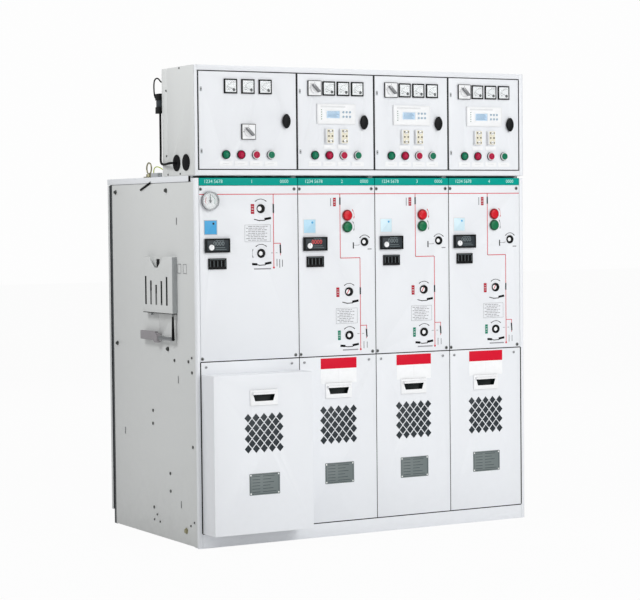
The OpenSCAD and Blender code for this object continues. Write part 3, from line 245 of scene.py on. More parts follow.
def spread(first, finish, places):
    # the first of what repeats is modelled and the others are copied; places are (name, body, centre)
    home = Vector(places[0][2])
    for name, body, centre in places[1:]:
        dress(repeat(first, name, Vector(centre) - home), body, finish)
    settle(first, places[0][0])
    return dress(first, places[0][1], finish)


def spreadAll(pieces, places):   # (piece, finish) for the first; places are (end of the name, body, centre)
    for piece, finish in pieces:
        base = piece.name
        spread(piece, finish, [(base + ending, body, centre) for ending, body, centre in places])


def words(name, text, centre, height, depth=0.3 * mm, turn=(pi / 2, 0, 0)):
    # plain letters that stand on a front face
    pickNone()
    bpy.ops.object.text_add(location=centre, rotation=turn)
    obj = bpy.context.object
    obj.data.body = text
    obj.data.size = height
    obj.data.align_x = "CENTER"
    obj.data.align_y = "CENTER"
    obj.data.extrude = depth / 2
    obj.data.resolution_u = 2
    bpy.ops.object.convert(target="MESH")
    return settle(bpy.context.object, name)


# Pieces that are cut from the CAD nodes

def solidsOf(node):
    # a merged copy of a CAD node, one object for each of its solids
    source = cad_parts[node]
    obj = source.copy()
    obj.data = source.data.copy()
    obj.parent = None
    scene.collection.objects.link(obj)
    editOn(obj)
    bpy.ops.mesh.select_all(action="SELECT")
    bpy.ops.mesh.remove_doubles(threshold=0.00001)
    bpy.ops.mesh.dissolve_limited(angle_limit=radians(0.4))
    bpy.ops.mesh.separate(type="LOOSE")
    editOff()
    return list(bpy.context.selected_objects)


def spanOf(obj):
    points = [v.co for v in obj.data.vertices]
    low = Vector(min(p[k] for p in points) for k in range(3))
    high = Vector(max(p[k] for p in points) for k in range(3))
    return low, high


def dressNode(node, body, choose, rim=0.6 * mm):
    # choose gets the lowest and highest corner of a solid; it gives name, material and at times a rim
    made = {}
    for part in sorted(solidsOf(node), key=lambda p: tuple(round(v, 4) for v in spanOf(p)[0])):
        span = spanOf(part)
        name, material, *ownRim = choose(*span)
        made.setdefault(name, []).append(span)
        count = len(made[name])
        settle(part, f"{name}_{count}" if count > 1 else name)
        softenRim(part, ownRim[0] if ownRim else rim)
        dress(part, body, material)
        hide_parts(node)
    return made   # the places of its solids by name


def dressWhole(node, name, finish, rim):   # a moving node that stays one piece
    dressNode(node, node, lambda low, high: (name, finish), rim=rim)


def paintFaces(obj, material, wanted):   # a second finish on the faces that are picked
    obj.data.materials.append(material)
    pickFaces(obj, wanted)
    obj.active_material_index = len(obj.data.materials) - 1
    bpy.ops.object.material_slot_assign()
    editOff()


# Shader groups that several finishes share

def newGroup(name, levels):   # a colour and the levels go in; colour, roughness and normal come out
    group = bpy.data.node_groups.new(name, "ShaderNodeTree")
    sockets = [("Color", "INPUT", "Color")] + [(level, "INPUT", "Float") for level in levels]
    sockets += [("Color", "OUTPUT", "Color"), ("Roughness", "OUTPUT", "Float"),
                ("Normal", "OUTPUT", "Vector")]
    for label, side, kind in sockets:
        group.interface.new_socket(label, in_out=side, socket_type="NodeSocket" + kind)
    coords, given, out = (group.nodes.new(kind) for kind in ("ShaderNodeTexCoord", "NodeGroupInput",
                                                             "NodeGroupOutput"))
    return group, coords.outputs["Object"], given.outputs, out.inputs


def addNode(tree, kind, **values):
    node = tree.nodes.new(kind)
    for key, value in values.items():
        setattr(node, key, value)
    return node


def addMath(tree, kind, first, second, clamp=False):
    node = addNode(tree, "ShaderNodeMath", operation=kind, use_clamp=clamp)
    for slot, value in enumerate((first, second)):
        if isinstance(value, (int, float)):
            node.inputs[slot].default_value = value
        else:
            tree.links.new(value, node.inputs[slot])
    return node.outputs[0]


def addNoise(tree, place, scale, detail=2):
    noise = addNode(tree, "ShaderNodeTexNoise")
    noise.inputs["Scale"].default_value = scale
    noise.inputs["Detail"].default_value = detail
    tree.links.new(place, noise.inputs["Vector"])
    return noise.outputs["Fac"]


def closeGroup(group, given, out, tone, uneven, relief, height, depth):
    # the colour times its tone, the roughness with what makes it uneven, and the relief
    link = group.links.new
    scaled = addNode(group, "ShaderNodeVectorMath", operation="SCALE")
    link(given["Color"], scaled.inputs[0])
    link(tone, scaled.inputs["Scale"])
    link(scaled.outputs["Vector"], out["Color"])
    link(addMath(group, "ADD", given["Roughness"], uneven, clamp=True), out["Roughness"])
    bump = addNode(group, "ShaderNodeBump")
    bump.inputs["Distance"].default_value = depth
    link(given[relief], bump.inputs["Strength"])
    link(height, bump.inputs["Height"])
    link(bump.outputs["Normal"], out["Normal"])
    return group


def buildCoatGroup():
    # baked powder coat: slow drift of tone, orange peel, and painted shade in blotches that darkens it
    # towards the floor
    group, coords, given, out = newGroup("powderCoat", ("Drift", "Dust", "Roughness", "Peel"))
    slow = addNoise(group, coords, scale=2.5, detail=3)
    fine = addNoise(group, coords, scale=900, detail=1)
    spots = addNoise(group, coords, scale=40, detail=4)
    place = addNode(group, "ShaderNodeSeparateXYZ")
    group.links.new(coords, place.inputs["Vector"])
    # painted shade: below 0.35 m the coat is darkened in blotches, more the nearer the floor
    low = addMath(group, "SUBTRACT", 1, addMath(group, "DIVIDE", place.outputs["Z"], 0.35), clamp=True)
    floorShade = addMath(group, "MULTIPLY", addMath(group, "MULTIPLY", low, spots), given["Dust"])
    drift = addMath(group, "MULTIPLY", addMath(group, "SUBTRACT", slow, 0.5), given["Drift"])
    tone = addMath(group, "SUBTRACT", addMath(group, "ADD", 1, drift), floorShade)
    uneven = addMath(group, "MULTIPLY", addMath(group, "SUBTRACT", spots, 0.5), 0.12)
    return closeGroup(group, given, out, tone, uneven, relief="Peel", height=fine, depth=0.4 * mm)


def buildMouldGroup():
    # moulded plastic: fine spark-eroded grain and slightly uneven gloss
    group, coords, given, out = newGroup("mouldedPlastic", ("Roughness", "Grain"))
    grain = addNoise(group, coords, scale=1500)
    cloud = addNoise(group, coords, scale=60, detail=3)
    centred = addMath(group, "SUBTRACT", cloud, 0.5)
    tone = addMath(group, "ADD", 1, addMath(group, "MULTIPLY", centred, 0.1))
    uneven = addMath(group, "MULTIPLY", centred, 0.2)
    return closeGroup(group, given, out, tone, uneven, relief="Grain", height=grain, depth=0.2 * mm)


def buildBrushedGroup():
    # brushed or rolled metal: long fine scratches along one axis, cloudy gloss
    group, coords, given, out = newGroup("rolledMetal", ("Roughness", "Scratch"))
    stretch = addNode(group, "ShaderNodeMapping")
    stretch.inputs["Scale"].default_value = (20, 800, 800)
    group.links.new(coords, stretch.inputs["Vector"])
    lines = addNoise(group, stretch.outputs["Vector"], scale=1)
    cloud = addNoise(group, coords, scale=25)
    centred = addMath(group, "SUBTRACT", cloud, 0.5)
    tone = addMath(group, "ADD", 1, addMath(group, "MULTIPLY", centred, 0.25))
    uneven = addMath(group, "MULTIPLY", centred, 0.3)
    return closeGroup(group, given, out, tone, uneven, relief="Scratch", height=lines, depth=0.2 * mm)


print("stage: shader groups")
coatGroup = buildCoatGroup()
mouldGroup = buildMouldGroup()
brushedGroup = buildBrushedGroup()


def makeFinish(name, group, color, metallic=0.0, coat=0.0, specular=0.5, **levels):
    material = bpy.data.materials.new(name)
    material.use_nodes = True
    tree = material.node_tree
    shader = tree.nodes["Principled BSDF"].inputs
    for label, value in (("Metallic", metallic), ("Coat Weight", coat), ("Specular IOR Level", specular)):
        shader[label].default_value = value
    effect = addNode(tree, "ShaderNodeGroup", node_tree=group)
    for label, value in {"Color": (*color, 1), **levels}.items():
        effect.inputs[label].default_value = value
    for given, taken in (("Color", "Base Color"), ("Roughness", "Roughness"), ("Normal", "Normal")):
        tree.links.new(effect.outputs[given], shader[taken])
    material.diffuse_color = (*color, 1)
    return material


def makeGlass(name, color, alpha):
    material = bpy.data.materials.new(name)
    material.use_nodes = True
    shader = material.node_tree.nodes["Principled BSDF"]
    shader.inputs["Base Color"].default_value = (*color, 1)
    shader.inputs["Alpha"].default_value = alpha
    shader.inputs["Roughness"].default_value = 0.06
    material.diffuse_color = (*color, alpha)
    return material


# Finishes, linear colours
frontPaint = makeFinish("frontPaint", coatGroup, (0.79, 0.81, 0.84), Roughness=0.42, Drift=0.03, Dust=0.06,
                        Peel=0.06)
# painted shade: a darker copy of the front coat for the faces turned to the side, with more floor shade
shadedSidePaint = makeFinish("shadedSidePaint", coatGroup, (0.655, 0.67, 0.665), Roughness=0.45, Drift=0.05, Dust=0.12,
                       Peel=0.06)
rearPaint = makeFinish("rearPaint", coatGroup, (0.62, 0.635, 0.64), Roughness=0.45, Drift=0.04, Dust=0.12,
                       Peel=0.06)
# painted shade: near black, for the shaded recess of the rear posts at the rear edge of the side
rearPostShade = makeFinish("rearPostShade", coatGroup, (0.045, 0.052, 0.055), Roughness=0.5, Drift=0.1, Dust=0.02,
                       Peel=0.08)
tealPaint = makeFinish("tealPaint", coatGroup, (0.0, 0.325, 0.268), specular=0.08, Roughness=0.4,
                       Drift=0.05, Dust=0.0, Peel=0.04)
whitePaint = makeFinish("whitePaint", mouldGroup, (0.86, 0.87, 0.88), Roughness=0.38, Grain=0.08)
blackPlastic = makeFinish("blackPlastic", mouldGroup, (0.005, 0.0055, 0.006), specular=0.12, Roughness=0.42,
                          Grain=0.15)
slatePlastic = makeFinish("slatePlastic", mouldGroup, (0.022, 0.030, 0.036), specular=0.25, Roughness=0.4,
                          Grain=0.12)
slotShade = makeFinish("slotShade", mouldGroup, (0.16, 0.165, 0.165), specular=0.2, Roughness=0.6,
                       Grain=0.1)
# painted shade for the front wall of the document pocket
shadePaint = makeFinish("shadePaint", coatGroup, (0.40, 0.42, 0.425), Roughness=0.45, Drift=0.05, Dust=0.1,
                        Peel=0.06)
leverGrip = makeFinish("leverGrip", mouldGroup, (0.30, 0.285, 0.30), Roughness=0.5, Grain=0.3)
greyPlastic = makeFinish("greyPlastic", mouldGroup, (0.42, 0.44, 0.46), Roughness=0.42, Grain=0.12)
redPlastic = makeFinish("redPlastic", mouldGroup, (0.60, 0.004, 0.014), specular=0.2, coat=0.12,
                        Roughness=0.28, Grain=0.05)
lampRed = makeFinish("lampRed", mouldGroup, (0.42, 0.004, 0.045), specular=0.2, coat=0.12, Roughness=0.28,
                     Grain=0.05)
lampGreen = makeFinish("lampGreen", mouldGroup, (0.002, 0.17, 0.085), specular=0.2, coat=0.12,
                       Roughness=0.28, Grain=0.05)
greenPlastic = makeFinish("greenPlastic", mouldGroup, (0.001, 0.15, 0.055), specular=0.2, coat=0.12,
                          Roughness=0.28, Grain=0.05)
bluePlastic = makeFinish("bluePlastic", mouldGroup, (0.07, 0.38, 0.70), specular=0.2, Roughness=0.35,
                         Grain=0.05)
paleBlue = makeFinish("paleBlue", mouldGroup, (0.42, 0.68, 0.84), coat=0.2, Roughness=0.35, Grain=0.05)
# black rubber, and the painted shadow under the pocket
blackRubberAndShade = makeFinish("blackRubberAndShade", mouldGroup, (0.005, 0.005, 0.006), specular=0.12, Roughness=0.62,
                         Grain=0.4)
earthCover = makeFinish("earthCover", mouldGroup, (0.45, 0.55, 0.03), Roughness=0.45, Grain=0.2)
redInk = makeFinish("redInk", mouldGroup, (0.62, 0.03, 0.05), specular=0.1, Roughness=0.5, Grain=0.0)
# black print, and painted shade in screw slots and in the slots and notch of the pocket
blackInkAndShade = makeFinish("blackInkAndShade", mouldGroup, (0.008, 0.008, 0.009), specular=0.1, Roughness=0.6, Grain=0.0)
greyInk = makeFinish("greyInk", mouldGroup, (0.14, 0.145, 0.155), specular=0.2, Roughness=0.5, Grain=0.0)
slatePlate = makeFinish("slatePlate", coatGroup, (0.14, 0.17, 0.17), Roughness=0.42, Drift=0.3, Dust=0.0,
                        Peel=0.3)
stainless = makeFinish("stainless", brushedGroup, (0.58, 0.6, 0.61), metallic=1.0, Roughness=0.32,
                       Scratch=0.2)
brightSteel = makeFinish("brightSteel", brushedGroup, (0.78, 0.79, 0.8), metallic=1.0, Roughness=0.22,
                         Scratch=0.1)
dullSteel = makeFinish("dullSteel", brushedGroup, (0.33, 0.34, 0.35), metallic=1.0, Roughness=0.42,
                       Scratch=0.3)
yellowZinc = makeFinish("yellowZinc", brushedGroup, (0.36, 0.34, 0.22), metallic=1.0, Roughness=0.35,
                        Scratch=0.25)
barCopper = makeFinish("barCopper", brushedGroup, (0.72, 0.36, 0.22), metallic=1.0, Roughness=0.34,
                       Scratch=0.2)
castResin = makeFinish("castResin", mouldGroup, (0.26, 0.07, 0.045), coat=0.3, Roughness=0.3, Grain=0.1)
ivoryPlastic = makeFinish("ivoryPlastic", mouldGroup, (0.78, 0.74, 0.60), Roughness=0.4, Grain=0.1)
keyPlastic = makeFinish("keyPlastic", mouldGroup, (0.30, 0.42, 0.52), Roughness=0.4, Grain=0.1)
displayBlue = makeFinish("displayBlue", mouldGroup, (0.50, 0.68, 0.86), coat=0.5, Roughness=0.25, Grain=0.0)
displayInk = makeFinish("displayInk", mouldGroup, (0.20, 0.33, 0.46), Roughness=0.4, Grain=0.0)
redDigit = makeFinish("redDigit", mouldGroup, (0.75, 0.05, 0.05), Roughness=0.4, Grain=0.0)
greenInk = makeFinish("greenInk", mouldGroup, (0.02, 0.22, 0.14), specular=0.1, Roughness=0.5, Grain=0.0)
paleInk = makeFinish("paleInk", mouldGroup, (0.72, 0.73, 0.74), Roughness=0.5, Grain=0.0)
screwSteel = makeFinish("screwSteel", brushedGroup, (0.09, 0.095, 0.09), metallic=0.8, Roughness=0.4,
                        Scratch=0.2)
paleZinc = makeFinish("paleZinc", brushedGroup, (0.80, 0.81, 0.80), metallic=0.55, Roughness=0.4,
                      Scratch=0.15)
clearCover = makeGlass("clearCover", (0.9, 0.95, 0.96), 0.16)


# Camera and light
print("stage: camera and light")
cameraSettings = {"place": (-4.1807, -7.4300, 1.2708), "turn": (87.647, 0.568, -29.479), "lens": 115.15}
cameraData = bpy.data.cameras.new("camera")
cameraData.sensor_width = 36
cameraData.sensor_fit = "HORIZONTAL"
cameraData.lens = cameraSettings["lens"]
cameraData.clip_end = 60
camera = bpy.data.objects.new("camera", cameraData)
camera.location = cameraSettings["place"]
camera.rotation_euler = [radians(a) for a in cameraSettings["turn"]]
scene.collection.objects.link(camera)
scene.camera = camera
scene.view_settings.view_transform = "Standard"

lightSettings = {
    "key": {"place": (2.2, -6.2, 4.0), "aim": (0.2, -0.2, 1.0), "size": 4.0, "power": 187},
    "low": {"place": (0.9, -4.2, 0.35), "aim": (0.1, -0.4, 0.1), "size": 2.0, "power": 30},
    "left": {"place": (-2.6, -0.3, 3.0), "aim": (-0.7, 0.0, 1.4), "size": 0.9, "power": 32},
    "back": {"place": (2.5, 5.5, 4.0), "aim": (0, 0, 1.0), "size": 4.0, "power": 90},
}
for label, values in lightSettings.items():
    lampData = bpy.data.lights.new(label, "AREA")
    lampData.size = values["size"]
    lampData.energy = values["power"]
    lamp = bpy.data.objects.new(label, lampData)
    lamp.location = values["place"]
    ray = Vector(values["aim"]) - Vector(values["place"])
    lamp.rotation_euler = ray.to_track_quat("-Z", "Y").to_euler()
    scene.collection.objects.link(lamp)

worldSettings = {"light": 0.46, "shown": 0.985}
world = bpy.data.worlds.new("studio")
world.use_nodes = True
scene.world = world
tree = world.node_tree
tree.nodes.clear()
path = addNode(tree, "ShaderNodeLightPath")
seen = addMath(tree, "MAXIMUM", path.outputs["Is Camera Ray"], path.outputs["Is Transmission Ray"])
shown = addNode(tree, "ShaderNodeBackground")
shown.inputs["Strength"].default_value = worldSettings["shown"]
lit = addNode(tree, "ShaderNodeBackground")
lit.inputs["Strength"].default_value = worldSettings["light"]
for background in (shown, lit):
    background.inputs["Color"].default_value = (1, 1, 1, 1)
mix = addNode(tree, "ShaderNodeMixShader")
tree.links.new(seen, mix.inputs[0])
tree.links.new(lit.outputs[0], mix.inputs[1])
tree.links.new(shown.outputs[0], mix.inputs[2])
tree.links.new(mix.outputs[0], addNode(tree, "ShaderNodeOutputWorld").inputs["Surface"])


def makeFloor():
    pickNone()
    bpy.ops.mesh.primitive_plane_add(size=60, location=(0, 0, -0.0005))
    floor = settle(bpy.context.object, "studioFloor")
    material = bpy.data.materials.new("studioFloor")
    material.use_nodes = True
    nodes = material.node_tree
    shader = nodes.nodes["Principled BSDF"]
    shader.inputs["Roughness"].default_value = 0.9
    shader.inputs["Base Color"].default_value = (0.93, 0.93, 0.93, 1)
    shader.inputs["Specular IOR Level"].default_value = 0.1
    rays = addNode(nodes, "ShaderNodeLightPath")
    glow = addNode(nodes, "ShaderNodeEmission")
    glow.inputs["Strength"].default_value = 0.985
    share = addMath(nodes, "MULTIPLY", rays.outputs["Is Camera Ray"], 0.97)
    blend = addNode(nodes, "ShaderNodeMixShader")
    nodes.links.new(share, blend.inputs[0])
    nodes.links.new(shader.outputs[0], blend.inputs[1])
    nodes.links.new(glow.outputs[0], blend.inputs[2])
    nodes.links.new(blend.outputs[0], nodes.nodes["Material Output"].inputs["Surface"])
    floor.data.materials.append(material)


makeFloor()

# Cords
print("stage: cords")
boxCorner = Vector((-760, -127.5, 1430))   # lower left rear corner of the control box, in mm
cordSettings = {
    "control_cable": {"radius": 4.5 * mm, "finish": blackRubberAndShade, "leaves": (-3, -132, 50.5), "route": [
        (15, -132, 50.5), (5, -132, 50.5), (-5, -132, 50.5), (-14, -129.5, 50.5), (-20.5, -123, 50.5),
        (-23, -114, 50), (-22, -95, 49), (-18, -75, 47.5), (-14, -55, 47), (-11, -35, 47),
        (-10, -21, 48), (-8, -6.5, 52), (-5, 4.5, 61), (-3, 9, 74), (-2, 9.5, 88), (-2, 9.5, 120),
        (-2, 9.5, 152), (-2, 9.5, 184), (-2, 9.5, 216), (-2, 9.5, 247.7)]},
    "loop_cable": {"radius": 2.8 * mm, "finish": blackRubberAndShade, "leaves": (-2, 40.3, 308), "route": [
        (-2, 40.3, 308), (-2, 45.5, 308), (-2, 52.5, 310), (-2, 57.5, 315), (-2.5, 60.5, 323),
        (-3, 62.5, 338), (-3, 63.5, 353), (-2.5, 63.5, 368), (-2, 61, 378), (-1, 53.5, 385.5),
        (1, 43.5, 388), (3, 33.5, 385.5), (5, 26.5, 379), (6, 20.5, 373.5), (7, 13.5, 370.5),
        (7, 6.5, 370), (7, 0.3, 370)]},
    "earth_wire": {"radius": 2 * mm, "finish": earthCover, "leaves": (12, 107.5, 17.3), "route": [
        (12, 107.5, 17.3), (12, 107.5, 24), (12, 106, 30), (12, 101.5, 35), (11.5, 95.5, 38),
        (11, 87.5, 40), (10.5, 78.5, 41), (10, 69.5, 41), (10, 60.5, 40), (10, 51.5, 38.5),
        (10, 42.5, 36.5), (10, 33.5, 34), (10, 24.5, 31), (10, 15.5, 28.5), (10, 7.5, 27),
        (10, 0.3, 27)]},
}


def layCord(node, values):
    curve = bpy.data.curves.new(node + "_run", "CURVE")
    curve.dimensions = "3D"
    curve.bevel_depth = values["radius"]
    curve.bevel_resolution = 5
    curve.use_fill_caps = True
    spline = curve.splines.new("NURBS")
    route = [(boxCorner + Vector(p)) * mm for p in values["route"]]
    spline.points.add(len(route) - 1)
    for point, place in zip(spline.points, route):
        point.co = (*place, 1)
    spline.order_u = 4
    spline.use_endpoint_u = True
    spline.resolution_u = 6
    obj = bpy.data.objects.new(node + "_run", curve)
    scene.collection.objects.link(obj)
    dress(obj, cabinet, values["finish"])
    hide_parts(node)
    leaves = (boxCorner + Vector(values["leaves"])) * mm


for node, values in cordSettings.items():
    layCord(node, values)


# Places that the rest is worked out from
bays = (1, 2, 3, 4)
halfJoint = 1.5 * mm
doorPin = 7 * mm         # free length of a hinge pin
pocketFace = -20 * mm    # face of the document pocket from the left side
bayLeft = {i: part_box(f"lower_cover_{i}")[0][0] - halfJoint for i in bays}
bayRight = {i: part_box(f"lower_cover_{i}")[1][0] + halfJoint for i in bays}
bayMid = {i: (bayLeft[i] + bayRight[i]) / 2 for i in bays}
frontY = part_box("operating_panels")[0][1]
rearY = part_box("side_and_rear_panels")[1][1]
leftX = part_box("roof_tray")[0][0]
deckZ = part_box("roof_tray")[1][2]


# Shell of the cabinet
print("stage: cabinet shell")


def chooseShell(low, high):
    if high.y > rearY - mm:
        return "rear_cover", rearPaint
    # the side sheets take the darker copy of the front coat as painted shade
    return "side_sheet", shadedSidePaint


def chooseFrame(low, high):
    if high.z - low.z > 1.2 and low.y < frontY + mm:
        return "corner_post", frontPaint
    # the rear posts are painted near black as the shade of their recess
    if high.z - low.z > 1.2 and low.y > 0.3:
        return "rear_post", rearPostShade
    return "frame_member", rearPaint


def choosePanels(low, high):
    if high.z - low.z > 0.1:
        return "operating_panel", frontPaint
    return "header_strip", tealPaint


def chooseRoof(low, high):
    if high.x - low.x < 0.1:
        return "roof_end_cap", blackRubberAndShade
    return "roof_sheet", frontPaint


def chooseBase(low, high):
    if high.z > 56 * mm:
        return "floor_plate", rearPaint
    return "plinth_beam", frontPaint


def chooseBox(low, high):
    # the rear and left walls of the box take the darker copy of the front coat as painted shade
    if low.y > frontY + 0.1:
        return "control_box_rear", shadedSidePaint
    if high.x < leftX + 0.1 and high.y - low.y > 0.1:
        return "control_box_left", shadedSidePaint
    return ("control_box_wall" if high.y - low.y > 0.1 else "control_box_lip"), frontPaint


def chooseFastener(low, high):
    if high.z > deckZ + 10 * mm:
        return "lifting_eye", yellowZinc
    if high.y > rearY:
        return "rear_cover_bolt", screwSteel
    if high.z < 0.1:
        return "earth_bolt", yellowZinc
    return ("side_bolt" if high.z - low.z > 15 * mm else "side_screw"), screwSteel


def chooseFitting(low, high):
    if high.z - low.z > 50 * mm:
        return "cable_grommet", blackRubberAndShade
    if low.z > 1.7 and high.z < 1.735:
        return "plug_middle", slatePlastic
    if high.z < deckZ + 50 * mm:
        return "deck_terminal", greyPlastic
    return "plug_block", blackPlastic


for node, choose, rim in (("side_and_rear_panels", chooseShell, 0.5), ("cabinet_frame", chooseFrame, 0.5),
                          ("operating_panels", choosePanels, 0.7), ("roof_tray", chooseRoof, 0.6),
                          ("base_frame", chooseBase, 0.8), ("control_box", chooseBox, 0.8),
                          ("fasteners", chooseFastener, 0.4), ("cable_fittings", chooseFitting, 0.8)):
    dressNode(node, cabinet, choose, rim=rim * mm)
# the pocket takes the darker copy of the front coat as painted shade
dressNode("document_pocket", cabinet, lambda low, high: ("side_pocket", shadedSidePaint), rim=0.4 * mm)

# Inner parts keep their CAD shape
for node, material in (("gas_tank", stainless), ("copper_bars", barCopper), ("cable_bushings", castResin),
                       ("mechanism_frames", dullSteel)):
    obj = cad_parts[node]
    obj.data.materials.clear()
    obj.data.materials.append(material)


# Instruments on the operating panels
def chooseInstrument(low, high):
    wide, tall = high.x - low.x, high.z - low.z
    if wide > 65 * mm and abs(wide - tall) < mm:
        return "gauge_case", dullSteel
    if wide > 90 * mm:
        return "voltage_indicator", slatePlastic
    if wide > 60 * mm:
        return "fault_indicator", blackPlastic
    if high.y - low.y < 5 * mm and wide < 30 * mm:
        return "test_knob", whitePaint
    return "button_guard", blackPlastic


instruments = dressNode("panel_instruments", cabinet, chooseInstrument, rim=0.5 * mm)
dressWhole("gauge_needle", "gauge_pointer", blackPlastic, 0.1 * mm)
dressWhole("operating_lever", "stored_lever", blackPlastic, 0.8 * mm)
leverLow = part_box("operating_lever")[0]
paintFaces(bpy.data.objects["stored_lever"], leverGrip, lambda c, n: c.y > leverLow.y + 135 * mm)
paintFaces(bpy.data.objects["stored_lever"], dullSteel,
           lambda c, n: leverLow.y + 12 * mm < c.y < leverLow.y + 135 * mm)

shaftNodes = [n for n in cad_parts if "_shaft_" in n]
for node in shaftNodes:
    dressWhole(node, node + "_bar", paleZinc, 0.6 * mm)
    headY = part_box(node)[0][1]
    paintFaces(bpy.data.objects[node + "_bar"], whitePaint, lambda c, n: c.y < headY + 20 * mm)
for i in bays[1:]:
    dressWhole(f"open_button_{i}", f"breaker_open_button_{i}", redPlastic, 1.5 * mm)
    dressWhole(f"close_button_{i}", f"breaker_close_button_{i}", greenPlastic, 1.5 * mm)


# Line diagram, labels and marks on the operating panels
print("stage: panel marks")
deepRed = makeFinish("deepRed", mouldGroup, (0.42, 0.02, 0.04), specular=0.1, Roughness=0.5, Grain=0.0)
faintInk = makeFinish("faintInk", mouldGroup, (0.30, 0.30, 0.32), specular=0.2, Roughness=0.5, Grain=0.0)


def at(i, x, z, y=None):   # x from the left of bay i and height z, both in mm
    return Vector((bayLeft[i] + x * mm, frontY if y is None else y, z * mm))


def line(name, i, corners, width, lift=0.0):   # corners as (x, z) in mm from the left of the bay
    places = [(at(i, x, z).x, at(i, x, z).z) for x, z in corners]
    return drawnLine(name, places, width * mm, frontY - lift * mm, 0.25 * mm)


def arcMark(name, i, x, z, radius, start, end, width=2.2):
    # thin arc with a small arrow head at each end
    centre = at(i, x, z, frontY - 0.1 * mm)
    pieces = [arcBand(name, centre, radius * mm, width * mm, 0.3 * mm, start, end)]
    for angle, side in ((start, -1), (end, 1)):
        a = radians(angle)
        tip = (x + radius * sin(a) + side * 5 * cos(a), z + radius * cos(a) - side * 5 * sin(a))
        foot = (x + radius * sin(a), z + radius * cos(a))
        pieces.append(line(name, i, [foot, tip], 3.2))
    return joinPieces(pieces, name)


def leverSign(name, i, x, z, both):
    # small drawing of the operating lever: thick grip at the right, thin bent rod to the left
    rod = line(name, i, [(x - 30, z - 41), (x - 10, z - 46), (x + 14, z - 45), (x + 24, z - 40)], 3.4)
    grip = line(name, i, [(x + 18, z - 40), (x + 38, z - 37)], 9)
    pieces = [rod, grip]
    if both:
        pieces.append(line(name, i, [(x - 38, z - 41), (x - 24, z - 42)], 9))
    return joinPieces(pieces, name)


def sleeve(name, i, x, z, outer, inner, shift):
    # black moulded guard of an operating shaft, its window beside the middle
    obj = disc(name, at(i, x, z, frontY - 0.6 * mm), outer * mm, 3 * mm, rim=0, sides=48)
    pickFaces(obj, lambda c, n: abs(n.y) > 0.9)
    bpy.ops.mesh.inset(thickness=(outer - inner) * mm, use_even_offset=True)
    bpy.ops.transform.translate(value=(shift * mm, 0, 0))
    bpy.ops.mesh.bridge_edge_loops()
    editOff()
    softenRim(obj, 0.5 * mm, segments=2, angle=40)
    return obj


def shutter(name, i, x, z, radius, sides=40):   # white shutter that closes the window of a guard
    return disc(name, at(i, x, z, frontY - (1.0 if sides > 6 else 1.9) * mm), radius * mm, 1.2 * mm,
                rim=0.2 * mm, sides=sides)


def dot(name, i, x, z, lift, radius, depth):   # small flat disc; lift is the middle of its depth, in mm
    return disc(name, at(i, x, z, frontY - lift * mm), radius * mm, depth * mm, rim=0.1 * mm, sides=24)


def plateNumber(name, i, x, z, height):   # plain digits that read upwards
    return words(name, "1 0 1", at(i, x, z, frontY - 1.0 * mm), height * mm, turn=(pi / 2, -pi / 2, 0))


def textBox(name, i, low, high, rows):
    # outlined field with faint ruled rows, bare of words
    (xa, za), (xb, zb) = low, high
    corners = at(i, xa, za, frontY - 0.25 * mm), at(i, xb, zb, frontY + 0.1 * mm)
    field = frameRing(name + "_outline", *corners, 0.9 * mm, rim=0.05 * mm)
    step = (zb - za) / (rows + 1)
    dashes = []
    for k in range(1, rows + 1):
        x, z = xa + 6 + 9 * (k % 2), za + k * step
        end = xb - 6 - (11 * k) % 23
        while x < end - 4:
            wide = min(6 + (7 * k + len(dashes) * 5) % 14, end - x)
            left, right = at(i, x, z), at(i, x + wide, z)
            dashes.append(strip(name + "_rows", (left.x, left.z), (right.x, right.z), 2.6 * mm, frontY,
                                0.25 * mm, soft=False))
            x += wide + 3
    rowsPiece = joinPieces(dashes, name + "_rows")
    softenRim(rowsPiece, 0.05 * mm, segments=1)    # all the dashes at once
    return field, rowsPiece


def label(name, i, centre, size, corner=1.0):
    # plain plate stuck on the panel
    (x, z), (wide, tall) = centre, size
    return slab(name, at(i, x - wide / 2, z - tall / 2, frontY - 0.45 * mm),
                at(i, x + wide / 2, z + tall / 2, frontY + 0.05 * mm), corner=corner * mm, rim=0.1 * mm)


def layOut(pieces, where):   # (piece, finish) for the first bay; copies for the other bays
    spreadAll(pieces, [(f"_{i}", cabinet, at(i, 0, 0)) for i in where])


def busLine():
    # the busbar line that runs across all four bays
    z, width = 1357 * mm, 3.0 * mm
    for i in bays:
        xa = bayLeft[i] + 2 * mm
        piece = strip(f"bus_line_{i}", (xa, z), (bayRight[i] - 2 * mm, z), width, frontY, 0.25 * mm)
        dress(piece, cabinet, redInk)


